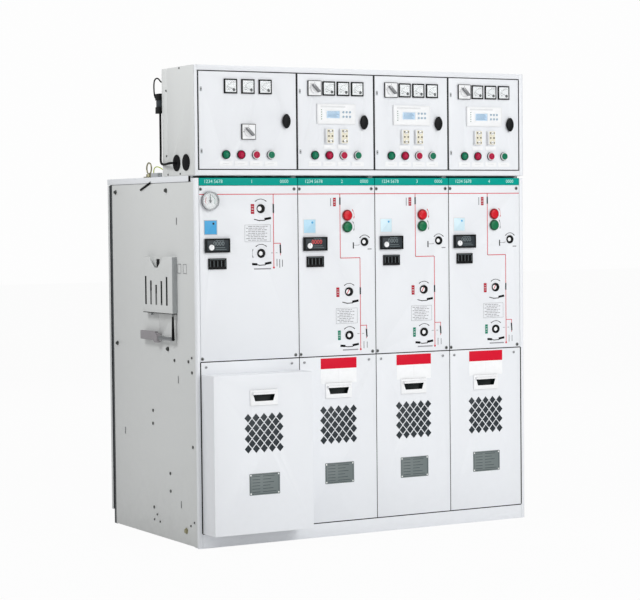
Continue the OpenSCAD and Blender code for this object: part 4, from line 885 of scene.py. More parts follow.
def switchBay():
    # bay 1: load switch above, earthing switch below, both on one vertical line
    settings = {"shaft": 266, "upper": 1301, "lower": 1128, "run": 321, "end": 1072, "branch": 1166}
    x, up, down, run = settings["shaft"], settings["upper"], settings["lower"], settings["run"]
    outline, rows = textBox("switch_text", 1, (195, 1173), (308, 1239), 9)
    pieces = [
        (line("switch_line", 1, [(run, 1357), (run, settings["end"])], 3.0), redInk),
        (line("switch_branch", 1, [(run, settings["branch"]), (run + 30, settings["branch"]),
                                   (run + 30, 1120)], 2.6), redInk),
        (line("switch_contact", 1, [(run, up + 15), (run, up - 14)], 6.0, 0.1), blackInkAndShade),
        (line("switch_earth_contact", 1, [(run + 29, 1158), (run + 30, 1130)], 6.0, 0.1), blackInkAndShade),
        (line("switch_coupling", 1, [(run - 11, down + 1), (run - 5, down + 1)], 1.8), greyInk),
        (line("switch_coupling_right", 1, [(run + 9, down + 1), (run + 16, down + 1)], 1.8), greyInk),
        (dot("switch_line_end", 1, run, settings["end"], 0.15, 4.2, 0.5), redInk),
        (label("switch_red_plate", 1, (x - 36, up - 1), (15, 38)), deepRed),
        (arcMark("switch_upper_arc", 1, x, up, 37, -32, 32), blackInkAndShade),
        (arcMark("switch_lower_arc", 1, x, down, 35, -32, 32), blackInkAndShade),
        (arcMark("switch_side_arc", 1, x, down, 39, -106, -74, width=1.0), greyInk),
        (leverSign("switch_lever_sign", 1, x + 2, up, False), blackInkAndShade),
        (leverSign("earthing_lever_sign", 1, x + 2, down, True), blackInkAndShade),
        (line("switch_note", 1, [(x - 30, down - 60), (x + 40, down - 60)], 5.0), faintInk),
        (outline, greyInk), (rows, faintInk),
        (sleeve("switch_upper_guard", 1, x, up, 17.5, 9, -6.2), blackPlastic),
        (sleeve("switch_lower_guard", 1, x, down, 17.5, 8, -3), blackPlastic),
        (shutter("switch_upper_shutter", 1, x - 6.2, up, 9.1), whitePaint),
        (shutter("switch_lower_shutter", 1, x - 3, down, 9, sides=6), whitePaint),
        (plateNumber("switch_plate_number", 1, x - 36, up - 1, 13), whitePaint),
    ]
    for k, (dx, tall) in enumerate(((14, 26), (26, 30), (38, 24))):
        top = 1104 - 2 * k
        ends = [(run + dx, top), (run + dx, top - tall)]
        pieces.append((line(f"cable_sign_{k + 1}", 1, ends, 3.0), greyInk))
    dressAll(pieces, cabinet)


def breakerBays():
    # bays 2 to 4: breaker, charging shaft, disconnector and earthing switch on a line with two turns
    settings = {"run": 190, "turn": 1103, "run2": 280, "end": 738, "branch": 833}
    a, b, turn = settings["run"], settings["run2"], settings["turn"]
    outline, rows = textBox("breaker_text", 2, (168, 843), (266, 904), 8)
    pieces = [
        (line("breaker_line", 2, [(a, 1357), (a, turn + 2), (a + 2, turn), (b - 2, turn), (b, turn - 2),
                                  (b, settings["end"])], 3.0), redInk),
        (line("breaker_branch", 2, [(b, settings["branch"]), (b + 28, settings["branch"]), (b + 28, 782)],
              2.6), redInk),
        (line("breaker_contact", 2, [(a, 1340), (a, 1317)], 6.0, 0.1), blackInkAndShade),
        (line("disconnector_contact", 2, [(b, 982), (b, 960)], 6.0, 0.1), blackInkAndShade),
        (line("earthing_contact", 2, [(b + 27, 816), (b + 29, 790)], 6.0, 0.1), blackInkAndShade),
        (line("breaker_coupling", 2, [(b - 14, 801), (b - 6, 801)], 1.8), greyInk),
        (line("breaker_coupling_right", 2, [(b + 8, 801), (b + 15, 801)], 1.8), greyInk),
        (dot("breaker_line_end", 2, b, settings["end"], 0.15, 4.2, 0.5), redInk),
        (label("breaker_red_plate", 2, (165, 1325), (13, 34)), deepRed),
        (line("breaker_note", 2, [(148, 1339), (148, 1311)], 4.0), faintInk),
        (label("disconnector_red_plate", 2, (177, 968), (14, 38)), deepRed),
        (label("earthing_green_plate", 2, (182, 797), (13, 38)), greenInk),
        (arcMark("open_arc", 2, 222, 1272, 33, 58, 100, width=1.2), redInk),
        (arcMark("close_arc", 2, 222, 1226, 33, 62, 104, width=1.2), greyInk),
        (arcMark("charge_arc", 2, 302, 1166, 27, -42, 42), blackInkAndShade),
        (arcMark("disconnector_arc", 2, 229, 969, 33, -32, 32), blackInkAndShade),
        (line("disconnector_mark", 2, [(229 - 10, 963), (229 - 2, 977)], 3.2, 1.7), redInk),
        (arcMark("earthing_arc", 2, 229, 796, 34, -34, 34), blackInkAndShade),
        (line("charge_sign_bar", 2, [(250, 1162), (250, 1142)], 5.0), blackInkAndShade),
        (line("charge_sign_rod", 2, [(254, 1153), (274, 1153), (278, 1156)], 1.6), greyInk),
        (line("charge_note", 2, [(318, 1137), (332, 1137)], 4.5), faintInk),
        (leverSign("disconnector_lever_sign", 2, 229, 969, False), blackInkAndShade),
        (leverSign("earthing_lever_sign", 2, 229, 796, True), blackInkAndShade),
        (line("earthing_note", 2, [(200, 738), (266, 738)], 5.0), faintInk),
        (line("cable_sign_left", 2, [(b + 15, 768), (b + 15, 742)], 2.6), greyInk),
        (line("cable_sign_right", 2, [(b + 30, 766), (b + 30, 744)], 2.6), greyInk),
        (outline, greyInk), (rows, faintInk),
        (sleeve("charge_guard", 2, 302, 1166, 16.8, 8, -3.8), blackPlastic),
        (sleeve("disconnector_guard", 2, 229, 969, 17.5, 9.5, -6), blackPlastic),
        (sleeve("earthing_guard", 2, 229, 796, 17.5, 8, -2.8), blackPlastic),
        (shutter("charge_shutter", 2, 302 - 3.8, 1166, 8.1), whitePaint),
        (shutter("disconnector_shutter", 2, 229 - 6, 969, 9.6), whitePaint),
        (shutter("earthing_shutter", 2, 229 - 2.8, 796, 9, sides=6), whitePaint),
        (plateNumber("breaker_plate_number", 2, 165, 1325, 12), whitePaint),
        (plateNumber("disconnector_plate_number", 2, 177, 968, 12), whitePaint),
        (plateNumber("earthing_plate_number", 2, 182, 797, 12), whitePaint),
    ]
    layOut(pieces, bays[1:])


def blueLabels():
    # square plate of each bay, paler from bay to bay, in a grey border
    for i, finish in zip(bays, (bluePlastic, paleBlue, iceBlue, iceBlue)):
        x = 48.5 if i == 1 else 52
        corners = at(i, x - 28.5, 1202, frontY - 0.7 * mm), at(i, x + 28.5, 1259, frontY + 0.1 * mm)
        border = frameRing("square_label_border", *corners, 2.6 * mm)
        plate = label("square_label", i, (x, 1230.5), (52.5, 52.5))
        mark = dot("square_label_mark", i, x + 12, 1245, 0.6, 4.4, 0.4)
        dressAll(((border, greyPlastic if i == 1 else paleInk), (plate, finish),
                  (mark, slatePlastic if i == 1 else bluePlastic)), cabinet, f"_{i}")


def dressIndicators():
    # window, thin frame, rows and round knob of each voltage indicator, and the flags of the block below
    windows, blocks = (sorted(instruments[name], key=lambda span: span[0].x)
                       for name in ("voltage_indicator", "fault_indicator"))
    for i, (low, high), (blockLow, blockHigh) in zip(bays, windows, blocks):
        wide, tall = (high.x - low.x) / mm, (high.z - low.z) / mm
        half, top = (blockHigh.x - blockLow.x) / mm / 2, (blockHigh.z - blockLow.z) / mm
        foot = off(blockLow, half, 0, 0)
        rows = [dash("indicator_rows", low, (42, k), (wide - 16 - k % 3 * 6, k), 1.6, low.y - 0.5 * mm)
                for k in (12, 19, 47)]
        flags = [dash("fault_flags", foot, (k, 10), (k, top - 8), 1.2, foot.y) for k in range(-32, 33, 16)]
        flags.append(dash("fault_flags", foot, (4 - half, top - 4), (half - 6, top - 4), 1.2, foot.y))
        edge = around(low, (0, wide), (-1, 1), (0, tall))
        plate = around(low, (7, wide - 7), (-0.5, 0.5), (7, tall - 7))
        dressAll((
            (frameRing("indicator_edge", *edge, 5 * mm), blackPlastic),
            (slab("indicator_plate", *plate, corner=2 * mm), slatePlastic),
            (joinPieces(rows), dimInk), (joinPieces(flags), dimInk),
            (words("indicator_digits", "0000", off(low, wide / 2 + 4, -0.6, 34), 24 * mm),
             redDigit if i == 2 else dimInk),
            (disc("indicator_knob", off(low, 24, -3.4, 20), 11 * mm, 6 * mm, rim=1.6 * mm), whitePaint),
            (dash("indicator_knob_mark", low, (24, 21), (24, 29), 1.4, low.y - 6.3 * mm), greyInk),
        ), cabinet, f"_{i}")


def dressGauge():
    # bright bezel, white dial with its ticks and zones, and the glass
    low, high = instruments["gauge_case"][0]
    radius = (high.x - low.x) / 2
    c = Vector(((low.x + high.x) / 2, low.y, (low.z + high.z) / 2))

    def onDial(name, reach, width, start, end):
        return arcBand(name, off(c, 0, 6.6, 0), reach * mm, width * mm, 0.3 * mm, start, end)

    ticks = joinPieces([onDial("gauge_ticks", 24, 4, a, a + 2.4) for a in range(-120, 121, 24)])
    rim = ringPlate("gauge_bezel", off(c, 0, 1.5, 0), radius + 0.6 * mm, radius - 3.4 * mm, 5 * mm,
                    rim=1.2 * mm)
    dial = disc("gauge_dial", off(c, 0, 7.2, 0), radius - 4.4 * mm, 1 * mm, rim=0, sides=48)
    glass = disc("gauge_glass", off(c, 0, 0.6, 0), radius - 4 * mm, 0.6 * mm, rim=0, sides=48)
    dressAll(((rim, dullSteel), (ticks, greyInk), (onDial("gauge_zone", 20.5, 2.2, 20, 118), greenInk),
              (onDial("gauge_low_zone", 20.5, 2.2, -118, -50), redInk), (dial, whitePaint),
              (glass, clearCover)), cabinet)


def headerMarks():
    # plain numbers on the teal strip
    settings = {1: (62, 228, 370), 2: (72, 200, 302), "level": 1406}   # bay 1 and the others, in mm
    for i in bays:
        for k, text in enumerate(("1234 5678", str(i), "0000")):
            place = at(i, settings[min(i, 2)][k], settings["level"], frontY - 0.2 * mm)
            dress(words(f"header_number_{i}_{k + 1}", text, place, 19 * mm), cabinet, paleTeal)


def panelScrews():
    # sunk cross-head screws in the corners of the panels, and slotted ones at the top of the covers
    settings = {"levels": (1377, 728), "sides": (7, 16), "coverLevel": 696, "coverSides": (22, 34)}   # in mm
    homes, coverHomes = [], []
    (left, right), (coverLeft, coverRight) = settings["sides"], settings["coverSides"]
    for i in bays:
        wide = (bayRight[i] - bayLeft[i]) / mm
        homes += [at(i, x, z) for z in settings["levels"] for x in (left, wide - right)]
        coverHomes += [at(i, x, settings["coverLevel"]) for x in (coverLeft, wide - coverRight)]
    c = homes[0]
    head = disc("panel_screw", off(c, 0, -0.8, 0), 5.2 * mm, 2.0 * mm, rim=0.9 * mm, sides=24)
    washer = ringPlate("panel_washer", off(c, 0, -0.2, 0), 7.4 * mm, 5.0 * mm, 0.8 * mm)
    # painted shade: the cross in each head is black strips in place of a recess
    cross = joinPieces([dash("panel_screw_cross", c, (-x, -z), (x, z), 1.1, frontY - 1.9 * mm, 0.25 * mm)
                        for x, z in ((3.55, 0), (0, 3.55))])
    spreadAll(((head, screwSteel), (washer, dullSteel), (cross, blackInkAndShade)),
              [(f"_{k // 4 + 1}_{k % 4 + 1}", cabinet, home) for k, home in enumerate(homes)])
    c = coverHomes[0]
    head = disc("cover_screw", off(c, 0, -1.2, 0), 5.4 * mm, 2.6 * mm, rim=1.0 * mm, sides=24)
    # painted shade: the slot is a black strip in place of a recess
    slot = dash("cover_screw_slot", c, (-3.4, -1.4), (3.4, 1.4), 1.2, frontY - 2.5 * mm)
    spreadAll(((head, dullSteel), (slot, blackInkAndShade)),
              [(f"_{k // 2 + 1}_{k % 2 + 5}", f"lower_cover_{k // 2 + 1}", home)
               for k, home in enumerate(coverHomes)])


def guardButtons():
    # coloured collars round the breaker buttons, darker than the caps
    for i in bays[1:]:
        for kind, z, finish in (("open", 1272, redCollar), ("close", 1226, greenCollar)):
            collar = ringPlate(f"{kind}_collar_{i}", at(i, 222, z, frontY - 3.2 * mm), 21.8 * mm, 18.9 * mm,
                               6 * mm, rim=1.0 * mm)
            dress(collar, cabinet, finish)


iceBlue = makeFinish("iceBlue", mouldGroup, (0.62, 0.80, 0.88), coat=0.2, Roughness=0.35, Grain=0.05)
paleTeal = makeFinish("paleTeal", mouldGroup, (0.52, 0.80, 0.75), Roughness=0.5, Grain=0.0)
dimInk = makeFinish("dimInk", mouldGroup, (0.16, 0.20, 0.21), Roughness=0.4, Grain=0.0)
redCollar = makeFinish("redCollar", mouldGroup, (0.30, 0.008, 0.012), Roughness=0.35, Grain=0.1)
greenCollar = makeFinish("greenCollar", mouldGroup, (0.01, 0.09, 0.04), Roughness=0.35, Grain=0.1)
busLine()
switchBay()
breakerBays()
blueLabels()
dressIndicators()
dressGauge()
headerMarks()
panelScrews()
guardButtons()


# Doors of the control box
print("stage: doors")


placed = {}   # the lowest and highest corner of each fitting by name


def centresOf(name):   # middle of each fitting across the front, at its foremost face
    return [Vector(((low.x + high.x) / 2, low.y, (low.z + high.z) / 2)) for low, high in placed[name]]


def dressDoor(i):
    def choose(low, high):
        wide = high.x - low.x
        x = (low.x + high.x) / 2
        z = (low.z + high.z) / 2
        if wide > 0.3:
            return f"door_{i}_leaf", frontPaint
        if wide > 0.15:
            return f"door_{i}_relay", whitePaint
        if z < 1.53:
            order = round((x - bayMid[i]) / (65 * mm) + 1.5)
            finish = [lampGreen, lampRed, whitePaint, whitePaint][order]
            return f"door_{i}_" + ["green_lamp", "red_lamp", "red_button_ring",
                                   "green_button_ring"][order], finish
        if wide < 30 * mm:
            return f"door_{i}_lock_bush", brightSteel
        if 34 * mm < wide < 38 * mm:
            return f"door_{i}_test_terminal", whitePaint
        if abs(wide - 58 * mm) < mm:
            return f"door_{i}_selector_plate", whitePaint
        return f"door_{i}_meter", blackPlastic

    placed.update(dressNode(f"control_door_{i}", f"control_door_{i}", choose, rim=0.6 * mm))
    dressWhole(f"door_lock_{i}", f"door_{i}_lock", blackPlastic, 1 * mm)
    dressWhole(f"selector_knob_{i}", f"door_{i}_selector", whitePaint, 0.8 * mm)
    dressWhole(f"red_push_button_{i}", f"door_{i}_red_button", redPlastic, 0.8 * mm)
    dressWhole(f"green_push_button_{i}", f"door_{i}_green_button", greenPlastic, 0.8 * mm)


for i in bays:
    dressDoor(i)

doorNames = {i: f"control_door_{i}" for i in bays}


def sealDoors():
    # rubber edge of each door: a lip on its face and a band round its edge, clear of the hinge pins
    settings = {"lip": 2.0, "proud": 0.5, "outside": 1.0, "back": 8}   # in mm
    out = settings["outside"]
    for i in bays:
        low, high = placed[f"door_{i}_leaf"][0]
        c = Vector((low.x, frontY, low.z + doorPin))
        wide, tall = (high.x - low.x) / mm, (high.z - low.z - 2 * doorPin) / mm
        front = around(c, (0, wide), (-settings["proud"], 0.2), (0, tall))
        band = around(c, (-out, wide + out), (1, settings["back"]), (-out, tall + out))
        face = frameRing(f"door_{i}_face_seal", *front, settings["lip"] * mm)
        edge = frameRing(f"door_{i}_edge_seal", *band, (out + 0.3) * mm)
        dressAll(((face, blackRubberAndShade), (edge, blackRubberAndShade)), doorNames[i])


def dressMeters():
    # dial plate, quarter scale with its ticks, needle, corner cap and window of each meter
    homes = [(f"_{i}_{k + 1}", doorNames[i], c) for i in bays
             for k, c in enumerate(centresOf(f"door_{i}_meter"))]
    settings = {"dial": 22.8, "window": 23.0, "scale": 29, "hub": (13.5, 0, -13.5)}   # dial and window halved
    c = homes[0][2]
    hub = off(c, *settings["hub"])   # where the needle turns
    half, wide, arc = settings["dial"], settings["window"], settings["scale"]

    def onDial(reach, width, start, end):
        return arcBand("meter_scale", off(hub, 0, 0.7, 0), reach * mm, width * mm, 0.3 * mm, start, end)

    dial = around(c, (-half, half), (0.8, 1.5), (-half, half))
    marks = [onDial(arc, 0.9, -78, 12)] + [onDial(arc + 2, 4, a, a + 1.6) for a in range(-78, 13, 15)]
    spreadAll((
        (slab("meter_dial", *dial, rim=0.1 * mm), whitePaint),
        (joinPieces(marks), greyInk),
        (dash("meter_needle", hub, (0, 0), (-27, 12), 1.1, c.y + 0.5 * mm), blackInkAndShade),
        (disc("meter_cap", off(hub, 0, 0.5, 0), 6.2 * mm, 0.8 * mm, rim=0.2 * mm, sides=24), blackPlastic),
        (dash("meter_unit", c, (-14, -12), (-6, -12), 3, c.y + 0.8 * mm), greyInk),
        (slab("meter_pane", *around(c, (-wide, wide), (-0.1, 0.2), (-wide, wide)), rim=0), clearCover),
    ), homes)


def dressRelays():
    # display with its rows, key caps, signal lamps and a bare label strip on each relay
    homes = [(f"_{i}", doorNames[i], centresOf(f"door_{i}_relay")[0]) for i in bays[1:]]
    keys = homes[0][2]
    c = off(keys, 0, 2, 0)   # the keys stand 2 mm in front of the face
    settings = {"screenX": (-44, 14), "screenZ": (-16, 12), "bezel": 5}   # in mm from the middle
    (xa, xb), (za, zb), lip = settings["screenX"], settings["screenZ"], settings["bezel"]
    rows = [dash("relay_rows", c, (xa + 4, za + k), (xb - 4 - (k * 7) % 15, za + k), 2, c.y + 0.7 * mm)
            for k in range(5, 26, 5)]
    keyCaps = [disc("relay_keys", off(keys, 30 + k * 15, -0.3, m * 18 - 10), 4.6 * mm, 1 * mm, sides=24)
               for k in range(3) for m in range(2)]
    lamps = [disc("relay_lamps", off(c, -68, -0.2, k * 9 - 20), 2 * mm, 0.8 * mm, rim=0.2 * mm, sides=16)
             for k in range(5)]
    bezel = around(c, (xa - lip, xb + lip), (-0.6, 0.1), (za - lip, zb + lip))
    border = around(c, (-85, 85), (-0.4, 0.1), (-38, 38))
    spreadAll((
        (frameRing("relay_bezel", *bezel, 3 * mm), whitePaint),
        (slab("relay_screen", *around(c, (xa, xb), (0.7, 1.5), (za, zb))), displayBlue),
        (joinPieces(rows), displayInk), (joinPieces(keyCaps), keyPlastic),
        (joinPieces(lamps), greenPlastic),
        (dash("relay_label", c, (-72, 29), (40, 29), 7, c.y), paleInk),
        (frameRing("relay_border", *border, 1.2 * mm, rim=0.1 * mm), paleInk),
    ), homes)


def dressTerminals():
    # ivory halves with a dark waist, screw heads with slots, painted shade for the holes, and the bare label
    # below
    homes = [(f"_{i}_{k + 1}", doorNames[i], c) for i in bays[1:]
             for k, c in enumerate(centresOf(f"door_{i}_test_terminal"))]
    heads = homes[0][2]
    c = off(heads, 0, 5, 0)   # the screws stand 5 mm in front of the block
    halves = [slab("terminal_half", *around(c, (-14, 14), (-2, 0.2), (z, z + 18)), corner=2 * mm,
                   rim=0.5 * mm) for z in (-27, -9, 9)]
    screws = [disc("terminal_screw", off(heads, 0, -0.4, z), 4.6 * mm, 1.6 * mm, rim=0.5 * mm, sides=24)
              for z in (18, -18)]
    # painted shade: the slots are black strips in place of a recess
    slots = [dash("terminal_slot", heads, (-4, z), (4, z + 2), 1.2, heads.y - 1.1 * mm) for z in (17, -19)]
    # painted shade: flat dark brown discs in place of the holes
    holes = [disc("terminal_hole_shade", off(c, x, -2.1, z), 3.6 * mm, 0.5 * mm, rim=0, sides=20)
             for x in (-8, 8) for z in (-20, 0, 20)]
    door = Vector((c.x, frontY, c.z))
    tag = slab("terminal_tag", *around(door, (-26, 26), (-1.1, -0.1), (-50, -34)), rim=0.2 * mm)
    spreadAll(((joinPieces(halves), ivoryPlastic), (joinPieces(screws), paleZinc),
               (joinPieces(slots), blackInkAndShade), (joinPieces(holes), holeShadeBrown), (tag, whitePaint)), homes)


def dressLampRow():
    # dark barrels, white button rings, coloured caps, and bare tags with one ruled line
    kinds = ("green_lamp", "red_lamp", "red_button_ring", "green_button_ring")
    homes = [(i, kind, centresOf(f"door_{i}_{kind}")[0]) for i in bays for kind in kinds]
    homes = [(i, kind, Vector((c.x, frontY, c.z))) for i, kind, c in homes]
    for sort, form, lift, outer, inner, depth in (("lamp", "bezel", 3.5, 16.9, 15.6, 6.4),
                                                  ("button", "barrel", 2.6, 17.4, 16.1, 4.8)):
        places = [(f"door_{i}_{kind}_{form}", doorNames[i], h) for i, kind, h in homes if sort in kind]
        ring = ringPlate(form, off(places[0][2], 0, -lift, 0), outer * mm, inner * mm, depth * mm)
        spread(ring, blackPlastic, places)
    for tint, finish in (("red", lampRed), ("green", lampGreen)):
        places = [(i, h) for i, kind, h in homes if kind == f"{tint}_button_ring"]
        home = places[0][1]
        cap = Vector((home.x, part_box(f"{tint}_push_button_1")[0][1], home.z))
        collar = ringPlate(f"{tint}_cap_collar", cap, 13.2 * mm, 5.6 * mm, 1.2 * mm,
                           rim=0.4 * mm)    # clear of the ring when pressed
        centre = disc(f"{tint}_cap_centre", off(cap, 0, 0.9, 0), 5.5 * mm, 2.2 * mm, rim=0.9 * mm, sides=32)
        spreadAll(((collar, finish), (centre, finish)),
                  [(f"_{i}", f"{tint}_push_button_{i}", h) for i, h in places])
        bezel = ringPlate(f"{tint}_button_bezel", off(home, 0, -6.2, 0), 16.6 * mm, 13.6 * mm, 2.0 * mm,
                          rim=0.7 * mm)
        spreadAll([(bezel, whitePaint)], [(f"_{i}", doorNames[i], h) for i, h in places])
    c = homes[0][2]
    tag = slab("lamp_tag", *around(c, (-28, 28), (-1.1, -0.1), (-43, -25)), corner=1 * mm, rim=0.2 * mm)
    rule = dash("lamp_tag_line", c, (-14, -34), (14, -34), 2.2, frontY - 1.1 * mm)
    spreadAll(((tag, whitePaint), (rule, paleInk)),
              [(f"_{k + 1}", doorNames[i], h) for k, (i, kind, h) in enumerate(homes)])


def dressSelectors():
    # dark frame round each selector plate, with the marks of its three positions
    homes = [(f"_{i}", doorNames[i], centresOf(f"door_{i}_selector_plate")[0]) for i in bays]
    c = homes[0][2]
    marks = [dash("selector_marks", c, (21 * sin(a), 21 * cos(a)), (25 * sin(a), 25 * cos(a)), 1.4, c.y)
             for a in (radians(-90), radians(-45), 0)]
    edge = frameRing("selector_frame", *around(c, (-30, 30), (-0.2, 5), (-30, 30)), 2.2 * mm)
    spreadAll(((edge, blackPlastic), (joinPieces(marks), blackInkAndShade)), homes)
    for i, home in zip(bays, homes):   # grey grip on the pale dial
        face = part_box(f"selector_knob_{i}")[0][1]
        paintFaces(bpy.data.objects[f"door_{i}_selector"], gripGrey, lambda c, n: c.y < face + 12.5 * mm)
        mark = dash(f"selector_mark_{i}", home[2], (-15, 15), (-8, 8), 1.6, face)
        dress(mark, f"selector_knob_{i}", whitePaint)


def dressHinges():
    # two plates with a screw near the hinge edge of each door
    levels, inset = (1758 * mm, 1522 * mm), 12 * mm
    homes = [(f"_{i}_{k + 1}", doorNames[i], Vector((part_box(doorNames[i])[0][0] + inset, frontY, z)))
             for i in bays for k, z in enumerate(levels)]
    c = homes[0][2]
    plate = slab("hinge_plate", *around(c, (-4, 4), (-1.2, 0.1), (-9, 9)), corner=2 * mm)
    head = disc("hinge_screw", off(c, 0, -1.8, 0), 2.8 * mm, 1.4 * mm, rim=0.5 * mm, sides=20)
    spreadAll(((plate, greyPlastic), (head, screwSteel)), homes)


# painted shade for the holes of the test terminals
holeShadeBrown = makeFinish("holeShadeBrown", mouldGroup, (0.10, 0.09, 0.07), specular=0.2, Roughness=0.5, Grain=0.0)
gripGrey = makeFinish("gripGrey", mouldGroup, (0.20, 0.205, 0.215), Roughness=0.4, Grain=0.15)
sealDoors()
dressMeters()
dressRelays()
dressTerminals()
dressLampRow()
dressSelectors()
dressHinges()


# Lower covers
print("stage: lower covers")


def chooseCover(i):
    def choose(low, high):
        if high.z - low.z > 0.4:
            return f"cover_{i}_sheet", frontPaint
        if high.z - low.z > 0.1:
            return f"cover_{i}_baffle", slatePlastic
        return f"cover_{i}_pull", whitePaint, 0.3 * mm
    return choose


coverFace = {}
for i in bays:
    pieces = dressNode(f"lower_cover_{i}", f"lower_cover_{i}", chooseCover(i), rim=1.0 * mm)
    coverFace[i] = pieces[f"cover_{i}_sheet"][0][0].y


def darkenCups():
    # black lining of the pull cups
    for i in bays:
        pull = bpy.data.objects[f"cover_{i}_pull"]
        paintFaces(pull, cupBlack, lambda c, n: c.y > coverFace[i] - 3 * mm
                   and abs(c.x - bayMid[i]) < 54 * mm)


def sealJoints():
    # dark rubber in the joints between panels and covers, and under and beside the covers
    settings = {"wide": 2.6 * mm, "level": 3.8 * mm, "front": frontY - 0.3 * mm, "deep": 5 * mm}
    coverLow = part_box("lower_cover_2")[0][2]
    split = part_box("lower_cover_2")[1][2] + halfJoint
    panelTop = 1385 * mm
    front, half = settings["front"], settings["wide"] / 2
    for i in bays[1:]:
        upright = slab(f"bay_joint_{i}", (bayLeft[i] - half, front, coverLow),
                       (bayLeft[i] + half, front + settings["deep"], panelTop), rim=0)
        dress(upright, cabinet, blackRubberAndShade)
    tall = settings["level"] / 2
    for name, z in (("split_joint", split), ("sill_joint", coverLow - halfJoint)):
        level = slab(name, (bayLeft[1], front, z - tall), (bayRight[4], front + settings["deep"], z + tall),
                     rim=0)
        dress(level, cabinet, blackRubberAndShade)
    for name, x in (("cover_left_joint", bayLeft[1] - 1.2 * mm),
                    ("cover_right_joint", bayRight[4] + 1.2 * mm)):
        edge = slab(name, (x - 2.2 * mm, frontY - 0.4 * mm, coverLow),
                    (x + 2.2 * mm, front + 2 * mm, split), rim=0)
        dress(edge, cabinet, blackRubberAndShade)


def coverPlates():
    # slate nameplates without writing, and the bare red and white plates of covers 2 to 4
    settings = {1: (205, 288), 2: (209, 292),   # lower and upper edge of the nameplates, in mm
                "red": (666, 708), "white": (608, 666), "half": 82}
    for i in bays:
        cover, ending = f"lower_cover_{i}", f"_{i}"
        za, zb = settings[min(i, 2)]
        c = Vector((bayMid[i] + (0 if i == 1 else 2 * mm), coverFace[i], 0))
        rows = []
        for k in range(6):
            z = za + 12 + 12 * k
            for xa, xb in ((-54, -20), (-8, 50 - (k * 13) % 29)):
                rows.append(dash("name_plate_rows", c, (xa, z), (xb, z), 2.2, c.y - 0.9 * mm, 0.2 * mm))
        plate = slab("name_plate", *around(c, (-66, 66), (-0.9, 0.1), (za, zb)), corner=3 * mm, rim=0.2 * mm)
        edge = frameRing("name_plate_edge", *around(c, (-62, 62), (-1.1, -0.7), (za + 4, zb - 4)), 1.6 * mm,
                         rim=0.05 * mm)
        dressAll(((plate, slatePlate), (edge, plateInk), (joinPieces(rows), plateInk)), cover, ending)
        for k, (x, z) in enumerate(((-60, za + 6), (60, za + 6), (-60, zb - 6), (60, zb - 6))):
            rivet = disc(f"name_plate_rivet_{i}_{k + 1}", off(c, x, -1.2, z), 3 * mm, 1.2 * mm,
                         rim=0.4 * mm, sides=16)
            dress(rivet, cover, paleZinc)
        if i == 1:
            continue
        c.y = frontY
        across = (-settings["half"], settings["half"])
        red = slab("red_plate", *around(c, across, (-0.6, 0.1), settings["red"]), rim=0.1 * mm)
        white = slab("white_plate", *around(c, across, (-0.5, 0.1), settings["white"]), rim=0.1 * mm)
        fold = dash("white_plate_line", c, (0, 612), (0, 662), 0.8, frontY - 0.5 * mm)
        dressAll(((red, labelRed), (white, labelWhite), (fold, paleInk)), cover, ending)


plateInk = makeFinish("plateInk", mouldGroup, (0.06, 0.075, 0.075), specular=0.2, Roughness=0.5, Grain=0.0)
labelRed = makeFinish("labelRed", mouldGroup, (0.66, 0.008, 0.03), specular=0.08, Roughness=0.4, Grain=0.0)
labelWhite = makeFinish("labelWhite", mouldGroup, (0.90, 0.91, 0.92), specular=0.2, Roughness=0.4,
                        Grain=0.0)
cupBlack = makeFinish("cupBlack", mouldGroup, (0.008, 0.014, 0.014), specular=0.15, Roughness=0.4,
                      Grain=0.1)
darkenCups()
sealJoints()
coverPlates()


def sidePlate(name, x, y, z, finish, rim=0):   # both ends of each; y in mm from the front edge, z in mm
    plate = slab(name, (x[0], frontY + y[0] * mm, z[0] * mm), (x[1], frontY + y[1] * mm, z[1] * mm),
                 rim=rim)
    return dress(plate, cabinet, finish)


def rivetRow(name, x, radius, deep, places):   # places as (y, z), likewise
    homes = [(x, frontY + y * mm, z * mm) for y, z in places]
    first = disc(name, (x - 0.8 * mm, *homes[0][1:]), radius, deep, axis=0, rim=0.8 * mm, sides=20)
    spread(first, screwSteel, [(f"{name}_{k + 1}", cabinet, home) for k, home in enumerate(homes)])


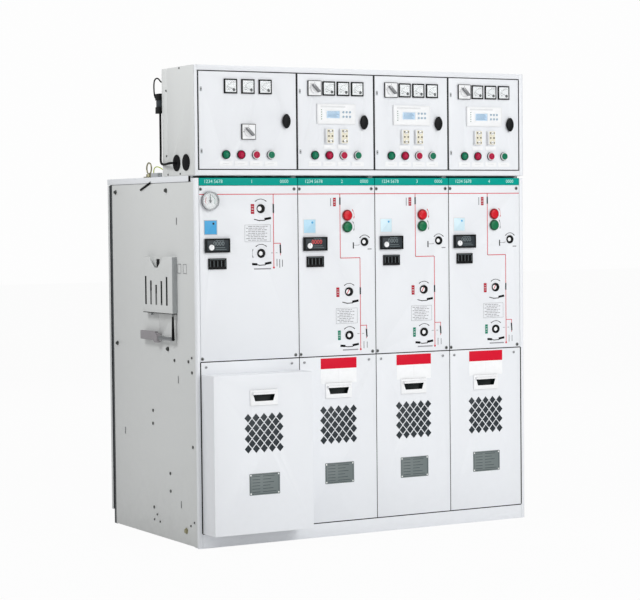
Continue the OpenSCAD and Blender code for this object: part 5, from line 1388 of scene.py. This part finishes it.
def sideMarks():
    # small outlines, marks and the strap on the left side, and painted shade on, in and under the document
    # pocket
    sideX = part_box("side_and_rear_panels")[0][0]
    onSide = (sideX - 0.3 * mm, sideX + 0.1 * mm)
    for k, y in enumerate((146.5, 97.5)):
        piece = sidePlate(f"side_outline_{k + 1}", onSide, (y - 15, y + 15), (1054, 1090), greyInk)
        pickFaces(piece, lambda c, n: abs(n.x) > 0.9)
        bpy.ops.mesh.inset(thickness=1.2 * mm, use_even_offset=True)
        bpy.ops.mesh.bridge_edge_loops()
        editOff()
    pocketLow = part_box("document_pocket")[0]
    pocket = bpy.data.objects["side_pocket"]
    # painted shade: the front-facing wall of the pocket, above its lowest 60 mm, is painted darker
    paintFaces(pocket, shadePaint, lambda c, n: n.y < -0.9 and c.z > pocketLow.z + 60 * mm)
    faceX = leftX + pocketFace
    middle = 168 + 136 + 12   # from the front edge to the middle of the slots
    # painted shade: black and grey sheets behind the slots stand for the shaded inside of the pocket
    for k, share in enumerate((1.0, 0.9, 0.4, 0.4, 1.0)):
        y = middle + (k - 2) * 48.6
        top = 897 + (142, 125, 109, 125, 142)[k]
        low = top - share * (top - 927)
        sidePlate(f"slot_lining_{k + 1}", (faceX + 2.0 * mm, faceX + 2.6 * mm), (y - 9, y + 9),
                  (low - 2, top + 2), blackInkAndShade)
        sidePlate(f"slot_shade_{k + 1}", (faceX + 2.8 * mm, faceX + 3.4 * mm), (y - 9, y + 9),
                  (925, top + 2), slotShade)
    # painted shade: a black sheet behind the notch of the pocket
    sidePlate("notch_shade", (faceX + 5 * mm, faceX + 5.6 * mm), (middle - 24, middle + 4), (1072, 1108),
              blackInkAndShade)
    # painted shadow: a black strip under the pocket
    sidePlate("pocket_shadow_gap", (faceX - 0.2 * mm, leftX - 1 * mm), (168, 440), (894.4, 896.6),
              blackRubberAndShade)
    strap = sidePlate("roof_strap", (leftX - 1 * mm, leftX + 3 * mm), (395, 500), (1391, 1399), blackRubberAndShade,
                      rim=0.4 * mm)
    editOn(strap)
    bpy.ops.mesh.select_all(action="SELECT")
    bpy.ops.transform.rotate(value=radians(16), orient_axis="X",
                             center_override=(leftX, frontY + 450 * mm, 1395 * mm))
    editOff()
    for k, (y, z) in enumerate(((168, 1256), (168, 640), (678, 399), (155, 153))):
        sidePlate(f"side_mark_{k + 1}", onSide, (y - 2, y + 2), (z - 14, z + 14), greyInk)
    rivetRow("side_rivet", sideX, 4.4 * mm, 2 * mm, [(404, 65), (378, 88), (351, 62), (71, 80), (39, 96),
                                                     (46, 731)])
    rivetRow("plinth_rivet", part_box("base_frame")[0][0], 4.4 * mm, 2 * mm,
             [(487, 22), (284, 16), (780, 20), (735, 20)])
    rivetRow("box_screw", leftX, 4 * mm, 2.4 * mm, [(243, 1764), (123, 1844), (245, 1510), (233, 1437),
                                                    (123, 1438)])


sideMarks()


print("stage: finished")
